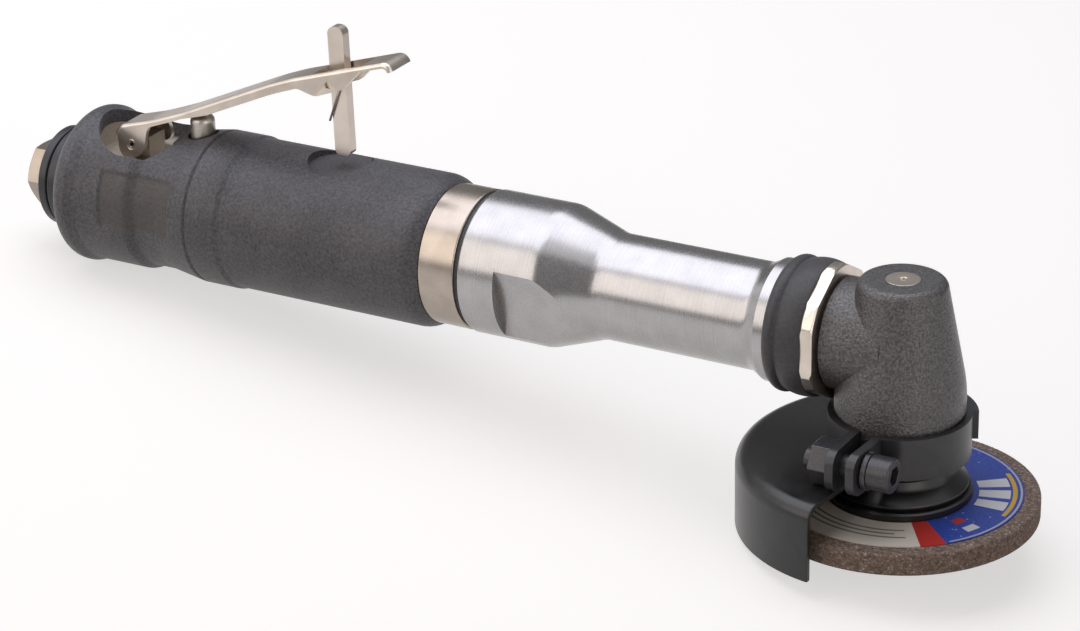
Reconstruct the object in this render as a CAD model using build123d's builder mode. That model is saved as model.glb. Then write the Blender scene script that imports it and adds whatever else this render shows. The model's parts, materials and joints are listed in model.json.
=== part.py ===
from build123d import *
import math
import os

# Extended right-angle air grinder. The tool axis is X, from the air inlet at the origin to the head,
# the spindle axis is parallel to Z, and every size is in millimetres.

# Clearances
FIT = 0.05  # radial, between pieces that are fixed together
RUN = 0.06  # radial, a shaft in its bearing or guide
GAP = 0.3  # between faces that move past each other

# Air inlet and exhaust
HEX_FLATS = 17.5
HEX_LENGTH = 7.0
HEX_BEVEL = 0.9
INLET_BORE_R = 5.6
INLET_BORE_LENGTH = 13.0
INLET_SHANK_R = 8.2
INLET_SHANK_LENGTH = 31.0
SCREEN_R = 4.4
SCREEN_DEPTH = 7.0
SCREEN_THICKNESS = 0.8
SCREEN_HOLE_R = 0.55
SCREEN_PITCH = 1.65
AIRWAY_R = 3.6
CAP_STANDOFF = 1.0
CAP_LENGTH = 9.8
CAP_REAR_R = 14.9
CAP_REAR_LENGTH = 2.9
CAP_FRONT_R = 15.3
CAP_GROOVE = 0.7
CAP_EDGE = 0.6
CAP_WALL = 2.0
CAP_SHANK_R = 13.0
CAP_SHANK_LENGTH = 5.0
CAP_CAVITY_R = 11.8
VENT_R = 1.1
VENT_COUNT = 12
FELT_LENGTH = 6.0

# Grip, a moulded sleeve on the motor housing
GRIP_LENGTH = 124.3
GRIP_REAR_WALL = 1.5
GRIP_REAR_ROUND = 4.4
GRIP_FLANGE_R = 23.3
GRIP_FLANGE_LENGTH = 5.5
GRIP_NECK_R = 22.2
GRIP_NECK_LENGTH = 17.0
GRIP_WAIST_R = 20.8
GRIP_WAIST_LENGTH = 7.0
GRIP_SHOULDER_R = 22.55
GRIP_SHOULDER_LENGTH = 11.0
GRIP_BARREL_R = 22.0
GRIP_RAMP = 11.0
GRIP_STEP = 3.0
GRIP_SOFTENING = 2.0
GRIP_CREASE = 2.0
GRIP_CREASE_DEPTH = 0.5
GRIP_END_R = 20.0
GRIP_END_LENGTH = 2.6
GRIP_END_ROUND = 8.0
PANEL_X = 16.5
PANEL_LENGTH = 25.3
PANEL_FLAT = 20.4
PANEL_HEIGHT = 18.0
PANEL_TURN = 13.0

# Motor housing, with the valve block in its rear half
HOUSING_R = 18.6
VALVE_BLOCK_LENGTH = 54.5
MOTOR_BORE_R = 16.6
EXHAUST_R = 1.7
EXHAUST_PITCH_R = 11.6
EXHAUST_SPREAD = 35.0

# Throttle lever, its pivot and the well that it sits in
LEVER_PIN_X = 19.8
LEVER_PIN_Z = 16.95
LEVER_PIN_R = 1.45
LEVER_PIN_BORE_R = 0.75
LEVER_TILT = 20.8
LEVER_WIDTH = 11.0
LEVER_SHEET = 1.5
LEVER_REAR = 5.5
LEVER_REAR_TOP = 4.7
LEVER_HEEL = 2.5
LEVER_HEEL_TOP = 6.1
LEVER_DIP = 8.0
LEVER_DIP_END = 20.0
LEVER_DIP_TOP = 5.2
LEVER_RISE = 54.0
LEVER_RISE_END = 62.0
LEVER_RISE_TOP = 7.1
LEVER_FRONT = 96.5
LEVER_FRONT_TOP = 5.0
LEVER_SWEEP = 60.0
LEVER_LIP = 3.0
LEVER_BEND = 3.0
LEVER_ROLL = 1.1
LEVER_SIDE = 3.0
LEVER_SIDE_START = 29.0
CHEEK_R = 3.6
CHEEK_ROUND = 3.9
CHEEK_REAR = 4.8
CHEEK_FRONT = 4.2
CHEEK_TOP_FRONT = 6.6
CHEEK_SWEEP = 2.5
WELL_R = 15.0
WELL_OFFSET = 2.2
WELL_FLOOR = 12.4
WELL_WALL = 1.2
BLOCK_TOP = 18.8
BLOCK_REAR = 4.2
BLOCK_FRONT = 4.2

# Lock-off lever, which hangs in a window of the throttle lever on a spring pin
LOCK_PIVOT_U = 74.0
LOCK_PIVOT_V = 2.68
LOCK_PIN_R = 0.95
LOCK_PIN_RECESS = 0.8
BAR_WIDTH = 5.1
BAR_THICKNESS = 3.2
BAR_UP = 15.5
BAR_DOWN = 22.6
BAR_LEAN = 1.5
BAR_TOP_ROUND = 2.2
BAR_FOOT_ROUND = 1.5
EAR_REAR = 10.7
EAR_FRONT = 12.0
EAR_FOOT_REAR = 5.6
EAR_FOOT_FRONT = 4.5
EAR_DROP = 2.2
EAR_ROUND = 4.0
WINDOW_REAR = 4.7
WINDOW_FRONT = 12.6
WIRE_R = 0.34
COIL_R = 1.5
COIL_TURNS = 2
BAR_LEG_LENGTH = 12.8
BAR_LEG_LEAN = 20.0
PLATE_LEG_LENGTH = 6.6
PLATE_LEG_RISE = 4.0
POCKET_FLOOR = 20.0
POCKET_FRONT = 5.5
POCKET_REAR = 9.8

# Throttle valve, a poppet that stands across the airway
VALVE_X = 40.7
VALVE_TRAVEL = 1.5
VALVE_BORE_R = 5.0
VALVE_BORE_FLOOR = -13.0
BUTTON_R = 3.6
BUTTON_TOP = 27.65
BUTTON_ROUND = 2.2
BUTTON_HOLE_R = 4.6
STEM_R = 2.5
POPPET_R = 4.3
POPPET_TOP = 3.9
POPPET_HEIGHT = 3.0
SEAT_HEIGHT = 2.5
SEAT_BORE_R = 3.3
PORT_R = 1.8
PORT_HEIGHT = 4.0
SEAL_HEIGHT = 1.5
GUIDE_HEIGHT = 5.9
VALVE_WIRE_R = 0.4
VALVE_COIL_R = 3.2
VALVE_COIL_TURNS = 5

# Vane motor
REAR_PLATE_LENGTH = 7.0
CYLINDER_LENGTH = 41.0
FRONT_PLATE_LENGTH = 8.0
PLATE_WEB = 1.5
CYLINDER_BORE_R = 14.2
CYLINDER_OFFSET = 1.2
JOURNAL_R = 4.0
VANE_COUNT = 5
VANE_THICKNESS = 1.6
VANE_DEPTH = 6.5
ROTOR_BEARING_R = 9.0

# Collar, extension housing and drive shaft
COLLAR_LENGTH = 11.35
COLLAR_R = 20.0
COLLAR_EDGE = 0.5
COLLAR_SEAL_WIDTH = 1.3
COLLAR_SEAL_R = 19.3
EXTENSION_LENGTH = 103.15
DRUM_R = 20.3
DRUM_LENGTH = 23.55
DRUM_EDGE = 0.8
DRUM_BORE_R = 13.4
CONE_LENGTH = 16.0
CONE_ROUND = 9.0
TUBE_R = 14.9
TUBE_BORE_R = 11.2
FLARE_R = 16.9
FLARE_SETBACK = 14.2
FLARE_LENGTH = 3.6
FLARE_ROUND = 4.0
FLARE_LIP = 4.4
FRONT_THREAD_R = 15.9
FRONT_BORE_R = 12.4
FLAT_DISTANCE = 17.1
FLAT_SETBACK = 11.55
FLAT_TURN = 15.0
SHAFT_R = 4.5
SHAFT_NOSE_R = 3.0
SHAFT_NOSE_LENGTH = 8.0
COUPLING_R = 8.0
COUPLING_LENGTH = 14.0
COUPLING_STANDOFF = 4.0
SHAFT_BEARING_WIDTH = 8.0

# Rubber band and lock nut
BAND_LENGTH = 11.2
BAND_BORE_R = 17.2
BAND_REAR_RIDGE_R = 18.7
BAND_VALLEY_R = 18.05
BAND_FRONT_RIDGE_R = 18.8
BAND_REAR_SHARE = 0.345
NUT_LENGTH = 3.55
NUT_FLATS = 35.2
NUT_CORNERS = 37.2
NUT_BEVEL = 0.6
NUT_SKIRT_R = 17.1
NUT_SKIRT_LENGTH = 9.0
NUT_LIP_LENGTH = 1.6
NUT_LIP_R = 13.5

# Angle head
NECK_LENGTH = 17.85
NECK_R = 15.3
NECK_GAP = 0.7
SWIVEL_FIT = 0.1
HEAD_SPIGOT_LENGTH = 16.5
HEAD_FLANGE_R = 14.7
HEAD_TOP = 18.7
HEAD_TOP_R = 11.7
HEAD_TOP_ROUND = 2.4
HEAD_FOOT_R = 17.55
HEAD_BREAK = -11.2
HEAD_BREAK_ROUND = 40.0
HEAD_FOOT = -18.2
NOSE_R = 17.0
NOSE_FOOT = -30.8
PLUG_R = 4.7
PLUG_DEPTH = 2.0
PLUG_SHANK_R = 2.6
PLUG_SHANK_LENGTH = 2.4
PLUG_HOLE_R = 1.1
PINION_BEARING_R = 9.4
PINION_BEARING_WIDTH = 6.0
PINION_SPACER_LENGTH = 5.0
PINION_SPACER_WALL = 1.4
PINION_SHANK_R = 5.0
GEAR_CAVITY_R = 12.5
GEAR_CAVITY_TOP = 4.5

# Bevel gears, which share their cone apex where the two axes cross
MODULE = 1.0
PINION_TEETH = 14
GEAR_TEETH = 23
FACE_WIDTH = 4.6
ADDENDUM = 0.75
DEDENDUM = 1.0
RIM = 0.7
SPACE_SHARE = 0.58
FLANK_ANGLE = 22.0
GEAR_HUB_R = 8.5
GEAR_HUB_FOOT = -12.5
KEY_SIZE = 2.0
KEY_LENGTH = 5.0

# Spindle, its bearings and the wheel stack
SPINDLE_R = 4.5
UPPER_BEARING_R = 6.4
UPPER_BEARING_FOOT = 6.0
UPPER_BEARING_WIDTH = 7.0
UPPER_JOURNAL_R = 3.5
LOWER_BEARING_R = 13.6
LOWER_BEARING_TOP = -17.5
LOWER_BEARING_WIDTH = 9.0
LOWER_JOURNAL_R = 6.0
BEARING_CAP_FOOT = -31.6
SHOULDER_R = 7.2
FLANGE_TOP = -33.6
FLANGE_TOP_R = 14.2
FLANGE_WAIST_R = 15.2
FLANGE_WAIST_DROP = 2.2
FLANGE_R = 19.8
FLANGE_ROUND = 3.0
FLANGE_LIP = 2.2
FLANGE_GROOVE = 0.7
WHEEL_R = 38.1
WHEEL_TOP = -42.8
WHEEL_THICKNESS = 6.2
WHEEL_EDGE = 0.8
WHEEL_BORE_R = 4.8
HUB_R = 15.0
HUB_RISE = 3.5
HUB_SLOPE = 3.5
HUB_THICKNESS = 4.0
LABEL_R = 33.6
LABEL_THICKNESS = 0.3
CLAMP_NUT_R = 11.0
CLAMP_NUT_LENGTH = 3.2
SPANNER_HOLE_R = 1.6
SPANNER_PITCH_R = 7.8
THREAD_R = 4.7
THREAD_END = -48.0

# Wheel guard and its clamp
GUARD_CLEAR = 4.05
GUARD_SHEET = 1.6
GUARD_TOP = -30.8
GUARD_FOOT = -52.2
GUARD_ROUND = 4.5
GUARD_START = 95.0
GUARD_SWEEP = 166.6
CLAMP_TOP = -19.1
CLAMP_SHEET = 1.95
EAR_SHEET = 2.4
EAR_REACH = 33.4
EAR_CORNER = 4.0
LEFT_EAR_X = -6.4
RIGHT_EAR_X = 2.6
RIGHT_EAR_LEAN = 5.0
TAB_TOP = -19.3
TAB_FOOT = -27.5
TAB_SHEET = 1.65
TAB_START = 26.0
TAB_SWEEP = 38.0
SCREW_R = 3.1
SCREW_Y = -26.4
SCREW_Z = -24.9
SCREW_HEAD_R = 4.75
SCREW_HEAD_LENGTH = 6.35
SCREW_SOCKET = 4.76
SCREW_SOCKET_DEPTH = 3.2
SCREW_TAIL = 2.4
WASHER_R = 5.2
WASHER_THICKNESS = 1.5
WASHER_SLIT = 0.8
CLAMP_HEX_FLATS = 11.1
CLAMP_HEX_LENGTH = 5.5

# Stations along the tool axis
x_cap = HEX_LENGTH + CAP_STANDOFF
x_grip = x_cap + CAP_LENGTH
x_collar = x_grip + GRIP_LENGTH
x_collar_seal = x_collar + COLLAR_LENGTH
x_extension = x_collar_seal + COLLAR_SEAL_WIDTH
x_nut = x_extension + EXTENSION_LENGTH
x_neck = x_nut + NUT_LENGTH
x_spindle = x_neck + NECK_LENGTH
x_screen = INLET_BORE_LENGTH + SCREEN_DEPTH
x_shank_end = HEX_LENGTH + INLET_SHANK_LENGTH
x_housing = x_grip + GRIP_REAR_WALL
x_cap_seat = x_grip + CAP_SHANK_LENGTH + GAP
x_pin = x_grip + LEVER_PIN_X
x_valve = x_grip + VALVE_X
x_motor = x_grip + VALVE_BLOCK_LENGTH
x_cylinder = x_motor + REAR_PLATE_LENGTH
x_front_plate = x_cylinder + CYLINDER_LENGTH
x_drum = x_front_plate + FRONT_PLATE_LENGTH
x_coupling = x_drum + COUPLING_STANDOFF
x_coupling_middle = x_coupling + COUPLING_LENGTH / 2
x_cone = x_extension + DRUM_LENGTH
x_tube = x_cone + CONE_LENGTH
x_head = x_nut - HEAD_SPIGOT_LENGTH
x_front_bearing = x_neck - PINION_BEARING_WIDTH
x_rear_bearing = x_front_bearing - PINION_SPACER_LENGTH - PINION_BEARING_WIDTH

# The rotor runs close to one side of its offset bore
rotor_r = CYLINDER_BORE_R - CYLINDER_OFFSET - GAP

# Heights along the valve
z_seat_top = POPPET_TOP + GAP / 3 + SEAT_HEIGHT
z_seal = z_seat_top + PORT_HEIGHT
z_guide = z_seal + SEAL_HEIGHT
z_button = z_guide + GUIDE_HEIGHT + VALVE_TRAVEL + GAP

# Heights along the spindle
z_wheel_hub = WHEEL_TOP + HUB_RISE
z_clamp_nut = z_wheel_hub - HUB_THICKNESS
guard_r = WHEEL_R + GUARD_CLEAR + GUARD_SHEET
z_guard_under = GUARD_TOP - GUARD_SHEET

# The throttle lever is drawn level, in a frame that starts at its pin and leans with it
tilt = math.radians(LEVER_TILT)
lever_plane = Plane(
    origin=(x_pin, 0, LEVER_PIN_Z),
    x_dir=(math.cos(tilt), 0, math.sin(tilt)),
    z_dir=(0, -1, 0),
)
lever_inside = LEVER_WIDTH / 2 - LEVER_SHEET
lever_crest = [
    (-LEVER_REAR, LEVER_REAR_TOP, 0),
    (-LEVER_HEEL, LEVER_HEEL_TOP, LEVER_BEND),
    (LEVER_DIP, LEVER_DIP_TOP, LEVER_SWEEP),
    (LEVER_DIP_END, LEVER_DIP_TOP, LEVER_SWEEP),
    (LEVER_RISE, LEVER_RISE_TOP, LEVER_SWEEP),
    (LEVER_RISE_END, LEVER_RISE_TOP, LEVER_SWEEP),
    (LEVER_FRONT, LEVER_FRONT_TOP, LEVER_BEND),
]
lock_pivot = lever_plane.from_local_coords((LOCK_PIVOT_U, LOCK_PIVOT_V, 0))

# Bevel gear cones: the line on which the two pitch cones touch, and the way from pinion to gear
pinion_cone = math.atan2(PINION_TEETH, GEAR_TEETH)
cone_length = MODULE * math.hypot(PINION_TEETH, GEAR_TEETH) / 2
inner_share = 1 - FACE_WIDTH / cone_length
apex = Vector(x_spindle, 0, 0)
mesh_way = Vector(-math.cos(pinion_cone), 0, -math.sin(pinion_cone))
pinion_axis = Axis((x_spindle, 0, 0), (1, 0, 0))
spindle_axis = Axis((x_spindle, 0, 0), (0, 0, 1))

# Outlines of pieces turned about the tool axis hang below it, so that their seams lie underneath
under_plane = Plane((0, 0, 0), x_dir=(1, 0, 0), z_dir=(0, 1, 0))

os.makedirs("parts", exist_ok=True)


def turn(outline, plane=under_plane, axis=Axis.X, mode=Mode.ADD):
    """Revolve a closed outline about the axis that its plane holds. A third number rounds that corner."""
    with BuildSketch(plane) as section:
        with BuildLine():
            FilletPolyline(
                *[point[:2] for point in outline],
                radius=[point[2] if len(point) > 2 else 0 for point in outline],
                close=True,
            )
        make_face()
    revolve(section.sketch, axis=axis, mode=mode)


def turn_upright(x, outline, mode=Mode.ADD):
    """Revolve a closed outline of (radius, height) points about an upright axis at x."""
    moved = [(x + point[0], *point[1:]) for point in outline]
    turn(moved, Plane.XZ, Axis((x, 0, 0), (0, 0, 1)), mode)


def ring(start, end, inner, outer, mode=Mode.ADD):
    """A plain ring about the tool axis."""
    turn([(start, inner), (end, inner), (end, outer), (start, outer)], mode=mode)


def upright_ring(x, foot, top, inner, outer, mode=Mode.ADD):
    """A plain ring about an upright axis at x."""
    turn_upright(x, [(inner, foot), (outer, foot), (outer, top), (inner, top)], mode)


def bearing_outline(start, end, inner, outer):
    """A shielded ball bearing cut through its middle: two races with the shields sunk between them."""
    race = (outer - inner) * 0.28
    sink = (end - start) * 0.08
    return [
        (start, inner),
        (start, inner + race),
        (start + sink, inner + race),
        (start + sink, outer - race),
        (start, outer - race),
        (start, outer),
        (end, outer),
        (end, outer - race),
        (end - sink, outer - race),
        (end - sink, inner + race),
        (end, inner + race),
        (end, inner),
    ]


def biarc(start, start_way, end, end_way):
    """Two arcs that leave start along start_way and reach end along end_way."""
    across = end - start
    ways = start_way + end_way
    spread = 2 * (1 - start_way.dot(end_way))
    reach = across.dot(ways)
    step = (math.sqrt(reach**2 + spread * across.dot(across)) - reach) / spread
    first = start + start_way * step
    second = end - end_way * step
    middle = (first + second) * 0.5
    TangentArc(start, middle, tangent=start_way)
    TangentArc(middle, end, tangent=(second - first).normalized())


def crest_height(u):
    """Height of the throttle lever's upper face over its pin, at u along the lever."""
    for start, end in zip(lever_crest, lever_crest[1:]):
        if u <= end[0]:
            break
    share = (u - start[0]) / (end[0] - start[0])
    return start[1] + share * (end[1] - start[1])


def lowered(points, depth):
    """A bent line moved down by depth, square to each of its runs."""
    ways = [(Vector(*end) - Vector(*start)).normalized() for start, end in zip(points, points[1:])]
    moved = []
    for index, point in enumerate(points):
        first = ways[max(index - 1, 0)]
        second = ways[min(index, len(ways) - 1)]
        way = (first + second) * (depth / (1 + first.dot(second)))
        moved.append((point[0] + way.Y, point[1] - way.X))
    return moved


def coil_stations(frame, radius, first_angle, sweep, rise):
    """Points and directions along a coil about the frame's Z axis, every quarter turn or less."""
    steps = math.ceil(abs(sweep) / 90)
    stations = []
    for index in range(steps + 1):
        angle = math.radians(first_angle + sweep * index / steps)
        level = min(max(index - 0.5, 0), steps - 1) / (steps - 1)
        slope = 0 if index in (0, steps) else rise / (steps - 1) / math.radians(abs(sweep) / steps)
        sense = math.copysign(radius, sweep)
        point = Vector(radius * math.cos(angle), radius * math.sin(angle), rise * level)
        way = Vector(-sense * math.sin(angle), sense * math.cos(angle), slope)
        tip = frame.from_local_coords(point + way)
        place = frame.from_local_coords(point)
        stations.append((place, (tip - place).normalized()))
    return stations


def wind(stations):
    """Join the stations of a coil with arcs."""
    for (start, start_way), (end, end_way) in zip(stations, stations[1:]):
        biarc(start, start_way, end, end_way)


def least_gap(wire, wire_r, coil_r):
    """The least gap between stretches of a wire that are half a turn or more apart along it."""
    count = 400
    spacing = wire.length / count
    apart = math.ceil(math.pi * coil_r / spacing)
    points = [wire.position_at(index / count) for index in range(count + 1)]
    return min(
        (points[later] - points[index]).length - 2 * wire_r
        for index in range(count + 1)
        for later in range(index + apart, count + 1)
    )


def tooth_space(side):
    """The gap between two teeth of the pinion (side 1) or the gear (side -1), tapering to the apex."""
    half = SPACE_SHARE * math.pi * MODULE / 2
    flare = math.tan(math.radians(FLANK_ANGLE))
    outer = 2 * ADDENDUM
    sections = []
    for reach in (cone_length * inner_share - MODULE, cone_length + MODULE):
        share = reach / cone_length
        with BuildSketch(Plane(apex + mesh_way * reach, x_dir=(0, 1, 0), z_dir=mesh_way)) as section:
            with BuildLine():
                Polyline(
                    (-share * (half - DEDENDUM * flare), -side * share * DEDENDUM),
                    (share * (half - DEDENDUM * flare), -side * share * DEDENDUM),
                    (share * (half + outer * flare), side * share * outer),
                    (-share * (half + outer * flare), side * share * outer),
                    close=True,
                )
            make_face()
        sections.append(section.sketch)
    return loft(sections, ruled=True)


def cone_point(cone, reach, out):
    """A point near a pitch cone, reach from the apex and out from the cone, as (axial, radial)."""
    return (
        reach * math.cos(cone) - out * math.sin(cone),
        reach * math.sin(cone) + out * math.cos(cone),
    )


# Inlet bushing: a hexagon outside, a pipe-thread bore, and a shank in the valve block
with BuildPart() as inlet_bushing:
    hex_corner = HEX_FLATS / math.sqrt(3)
    with BuildSketch(Plane.YZ):
        RegularPolygon(HEX_FLATS / 2, 6, major_radius=False)
    extrude(amount=HEX_LENGTH)
    turn(
        [
            (0, 0),
            (HEX_LENGTH, 0),
            (HEX_LENGTH, hex_corner + GAP),
            (HEX_BEVEL, hex_corner + GAP),
            (0, HEX_FLATS / 2 - GAP),
        ],
        mode=Mode.INTERSECT,
    )
    ring(HEX_LENGTH, x_shank_end, 0, INLET_SHANK_R)
    ring(0, INLET_BORE_LENGTH, 0, INLET_BORE_R, Mode.SUBTRACT)
    ring(INLET_BORE_LENGTH, x_screen, 0, SCREEN_R, Mode.SUBTRACT)
    ring(x_screen, x_shank_end, 0, AIRWAY_R, Mode.SUBTRACT)
inlet_bushing.part.label = "inlet_bushing"
export_step(inlet_bushing.part, "parts/inlet_bushing.step")

# Inlet screen: a drilled disc on the shoulder of the bushing's bore
with BuildPart() as inlet_screen:
    with BuildSketch(Plane.YZ.offset(x_screen - SCREEN_THICKNESS)):
        Circle(SCREEN_R - FIT)
        with GridLocations(SCREEN_PITCH, SCREEN_PITCH, 4, 4):
            Circle(SCREEN_HOLE_R, mode=Mode.SUBTRACT)
    extrude(amount=SCREEN_THICKNESS)
inlet_screen.part.label = "inlet_screen"
export_step(inlet_screen.part, "parts/inlet_screen.step")

# Exhaust cap: two rings with a groove, a vented rear wall and a threaded shank
with BuildPart() as exhaust_cap:
    x_groove = x_cap + CAP_REAR_LENGTH
    turn(
        [
            (x_cap, INLET_SHANK_R + FIT),
            (x_cap, CAP_REAR_R, CAP_EDGE),
            (x_groove, CAP_REAR_R, CAP_EDGE),
            (x_groove, CAP_REAR_R - CAP_GROOVE),
            (x_groove + CAP_GROOVE, CAP_REAR_R - CAP_GROOVE),
            (x_groove + CAP_GROOVE, CAP_FRONT_R, CAP_EDGE),
            (x_grip, CAP_FRONT_R),
            (x_grip, CAP_SHANK_R),
            (x_grip + CAP_SHANK_LENGTH, CAP_SHANK_R),
            (x_grip + CAP_SHANK_LENGTH, CAP_CAVITY_R),
            (x_cap + CAP_WALL, CAP_CAVITY_R),
            (x_cap + CAP_WALL, INLET_SHANK_R + FIT),
        ]
    )
    with BuildSketch(Plane.YZ.offset(x_cap)):
        with PolarLocations((INLET_SHANK_R + CAP_CAVITY_R) / 2, VENT_COUNT):
            Circle(VENT_R)
    extrude(amount=CAP_WALL, mode=Mode.SUBTRACT)
exhaust_cap.part.label = "exhaust_cap"
export_step(exhaust_cap.part, "parts/exhaust_cap.step")

# Muffler felt: a ring behind the vents
with BuildPart() as muffler_felt:
    x_felt = x_cap + CAP_WALL
    ring(x_felt, x_felt + FELT_LENGTH, INLET_SHANK_R + FIT, CAP_CAVITY_R - FIT)
muffler_felt.part.label = "muffler_felt"
export_step(muffler_felt.part, "parts/muffler_felt.step")

# The lever well, a round opening that stops short of the valve
with BuildSketch(Plane.XY.offset(WELL_FLOOR)) as well:
    with Locations((x_pin + WELL_OFFSET, 0)):
        Circle(WELL_R)
    with Locations((x_valve - VALVE_BORE_R - WELL_WALL, 0)):
        Rectangle(2 * WELL_R, 2 * WELL_R, align=(Align.MIN, Align.CENTER), mode=Mode.SUBTRACT)

# Motor housing: the valve block, the lever well with its pivot block, and the motor bore
with BuildPart() as motor_housing:
    block_half = lever_inside - GAP / 2
    ring(x_housing, x_collar, 0, HOUSING_R)
    ring(x_housing, x_cap_seat, 0, CAP_SHANK_R + FIT, Mode.SUBTRACT)
    ring(x_cap_seat, x_shank_end + GAP, 0, INLET_SHANK_R + FIT, Mode.SUBTRACT)
    ring(x_shank_end + GAP, x_valve, 0, AIRWAY_R, Mode.SUBTRACT)
    ring(x_motor, x_collar, 0, MOTOR_BORE_R, Mode.SUBTRACT)
    upright_ring(x_valve, VALVE_BORE_FLOOR, HOUSING_R, 0, VALVE_BORE_R, Mode.SUBTRACT)
    port_start = Vector(x_valve, 0, z_seat_top + PORT_HEIGHT / 2)
    port_way = Vector(x_motor, 0, EXHAUST_PITCH_R) - port_start
    with BuildSketch(Plane(port_start, x_dir=(0, 1, 0), z_dir=port_way)):
        Circle(PORT_R)
    extrude(amount=port_way.length + PORT_R, mode=Mode.SUBTRACT)
    with BuildSketch(Plane.YZ.offset(x_cap_seat)):
        for side in (0, 180):
            first = side - EXHAUST_SPREAD
            with PolarLocations(EXHAUST_PITCH_R, 3, first, 2 * EXHAUST_SPREAD, endpoint=True):
                Circle(EXHAUST_R)
    extrude(amount=x_motor - x_cap_seat, mode=Mode.SUBTRACT)
    extrude(well.sketch, amount=HOUSING_R - WELL_FLOOR, mode=Mode.SUBTRACT)
    with BuildSketch(Plane.XY.offset(WELL_FLOOR)):
        with Locations((x_pin - BLOCK_REAR, 0)):
            Rectangle(BLOCK_REAR + BLOCK_FRONT, 2 * block_half, align=(Align.MIN, Align.CENTER))
    extrude(amount=BLOCK_TOP - WELL_FLOOR)
    with BuildSketch(Plane.XZ.offset(block_half)):
        with Locations((x_pin, LEVER_PIN_Z)):
            Circle(LEVER_PIN_R + FIT)
    extrude(amount=-2 * block_half, mode=Mode.SUBTRACT)
motor_housing.part.label = "motor_housing"
export_step(motor_housing.part, "parts/motor_housing.step")

# Grip: a moulded sleeve with a rear flange, a waist, a creased shoulder and a plain barrel
with BuildPart() as grip_sleeve:
    x_neck_start = x_grip + GRIP_FLANGE_LENGTH + GRIP_STEP
    x_waist = x_neck_start + GRIP_NECK_LENGTH + GRIP_STEP
    x_ramp = x_waist + GRIP_WAIST_LENGTH
    x_shoulder = x_ramp + GRIP_RAMP
    x_barrel = x_shoulder + GRIP_SHOULDER_LENGTH
    turn(
        [
            (x_grip, CAP_SHANK_R + FIT),
            (x_grip, GRIP_FLANGE_R, GRIP_REAR_ROUND),
            (x_neck_start - GRIP_STEP, GRIP_FLANGE_R, GRIP_SOFTENING),
            (x_neck_start, GRIP_NECK_R, GRIP_SOFTENING),
            (x_waist - GRIP_STEP, GRIP_NECK_R, GRIP_SOFTENING),
            (x_waist, GRIP_WAIST_R, GRIP_SOFTENING),
            (x_ramp, GRIP_WAIST_R, 3 * GRIP_SOFTENING),
            (x_shoulder, GRIP_SHOULDER_R, 3 * GRIP_SOFTENING),
            (x_barrel, GRIP_SHOULDER_R, GRIP_SOFTENING / 2),
            (x_barrel + GRIP_STEP / 2, GRIP_BARREL_R, GRIP_SOFTENING / 2),
            (x_collar - GRIP_END_LENGTH, GRIP_BARREL_R, GRIP_END_ROUND),
            (x_collar, GRIP_END_R),
            (x_collar, HOUSING_R + FIT),
            (x_housing, HOUSING_R + FIT),
            (x_housing, CAP_SHANK_R + FIT),
        ]
    )
    turn(
        [
            (x_shoulder, GRIP_SHOULDER_R + GAP),
            (x_shoulder + GRIP_CREASE / 2, GRIP_SHOULDER_R - GRIP_CREASE_DEPTH),
            (x_shoulder + GRIP_CREASE, GRIP_SHOULDER_R + GAP),
        ],
        mode=Mode.SUBTRACT,
    )
    extrude(well.sketch, amount=GRIP_FLANGE_R, mode=Mode.SUBTRACT)
    upright_ring(x_valve, 0, GRIP_FLANGE_R, 0, BUTTON_HOLE_R, Mode.SUBTRACT)
    pocket_half = math.sqrt(GRIP_BARREL_R**2 - POCKET_FLOOR**2) + GAP
    with BuildSketch(Plane.XY.offset(POCKET_FLOOR)):
        with Locations((lock_pivot.X - POCKET_REAR + pocket_half, 0)):
            Circle(pocket_half)
        with Locations((lock_pivot.X + POCKET_FRONT, 0)):
            Rectangle(
                POCKET_FRONT + POCKET_REAR - pocket_half,
                2 * pocket_half,
                align=(Align.MAX, Align.CENTER),
            )
    extrude(amount=GRIP_FLANGE_R - POCKET_FLOOR, mode=Mode.SUBTRACT)
    for side in (-1, 1):
        turned = math.radians(PANEL_TURN)
        panel = Plane((x_grip + PANEL_X, 0, 0), (1, 0, 0), (0, side * math.cos(turned), math.sin(turned)))
        with BuildSketch(panel.offset(PANEL_FLAT)):
            Rectangle(PANEL_LENGTH, PANEL_HEIGHT, align=(Align.MIN, Align.CENTER))
        extrude(amount=GRIP_FLANGE_R - PANEL_FLAT, mode=Mode.SUBTRACT)
grip_sleeve.part.label = "grip_sleeve"
export_step(grip_sleeve.part, "parts/grip_sleeve.step")

# Lever pin: a hollow pin through the pivot block
with BuildPart() as lever_pin:
    with BuildSketch(Plane.XZ.offset(LEVER_WIDTH / 2)):
        with Locations((x_pin, LEVER_PIN_Z)):
            Circle(LEVER_PIN_R)
            Circle(LEVER_PIN_BORE_R, mode=Mode.SUBTRACT)
    extrude(amount=-LEVER_WIDTH)
lever_pin.part.label = "lever_pin"
export_step(lever_pin.part, "parts/lever_pin.step")

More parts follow.
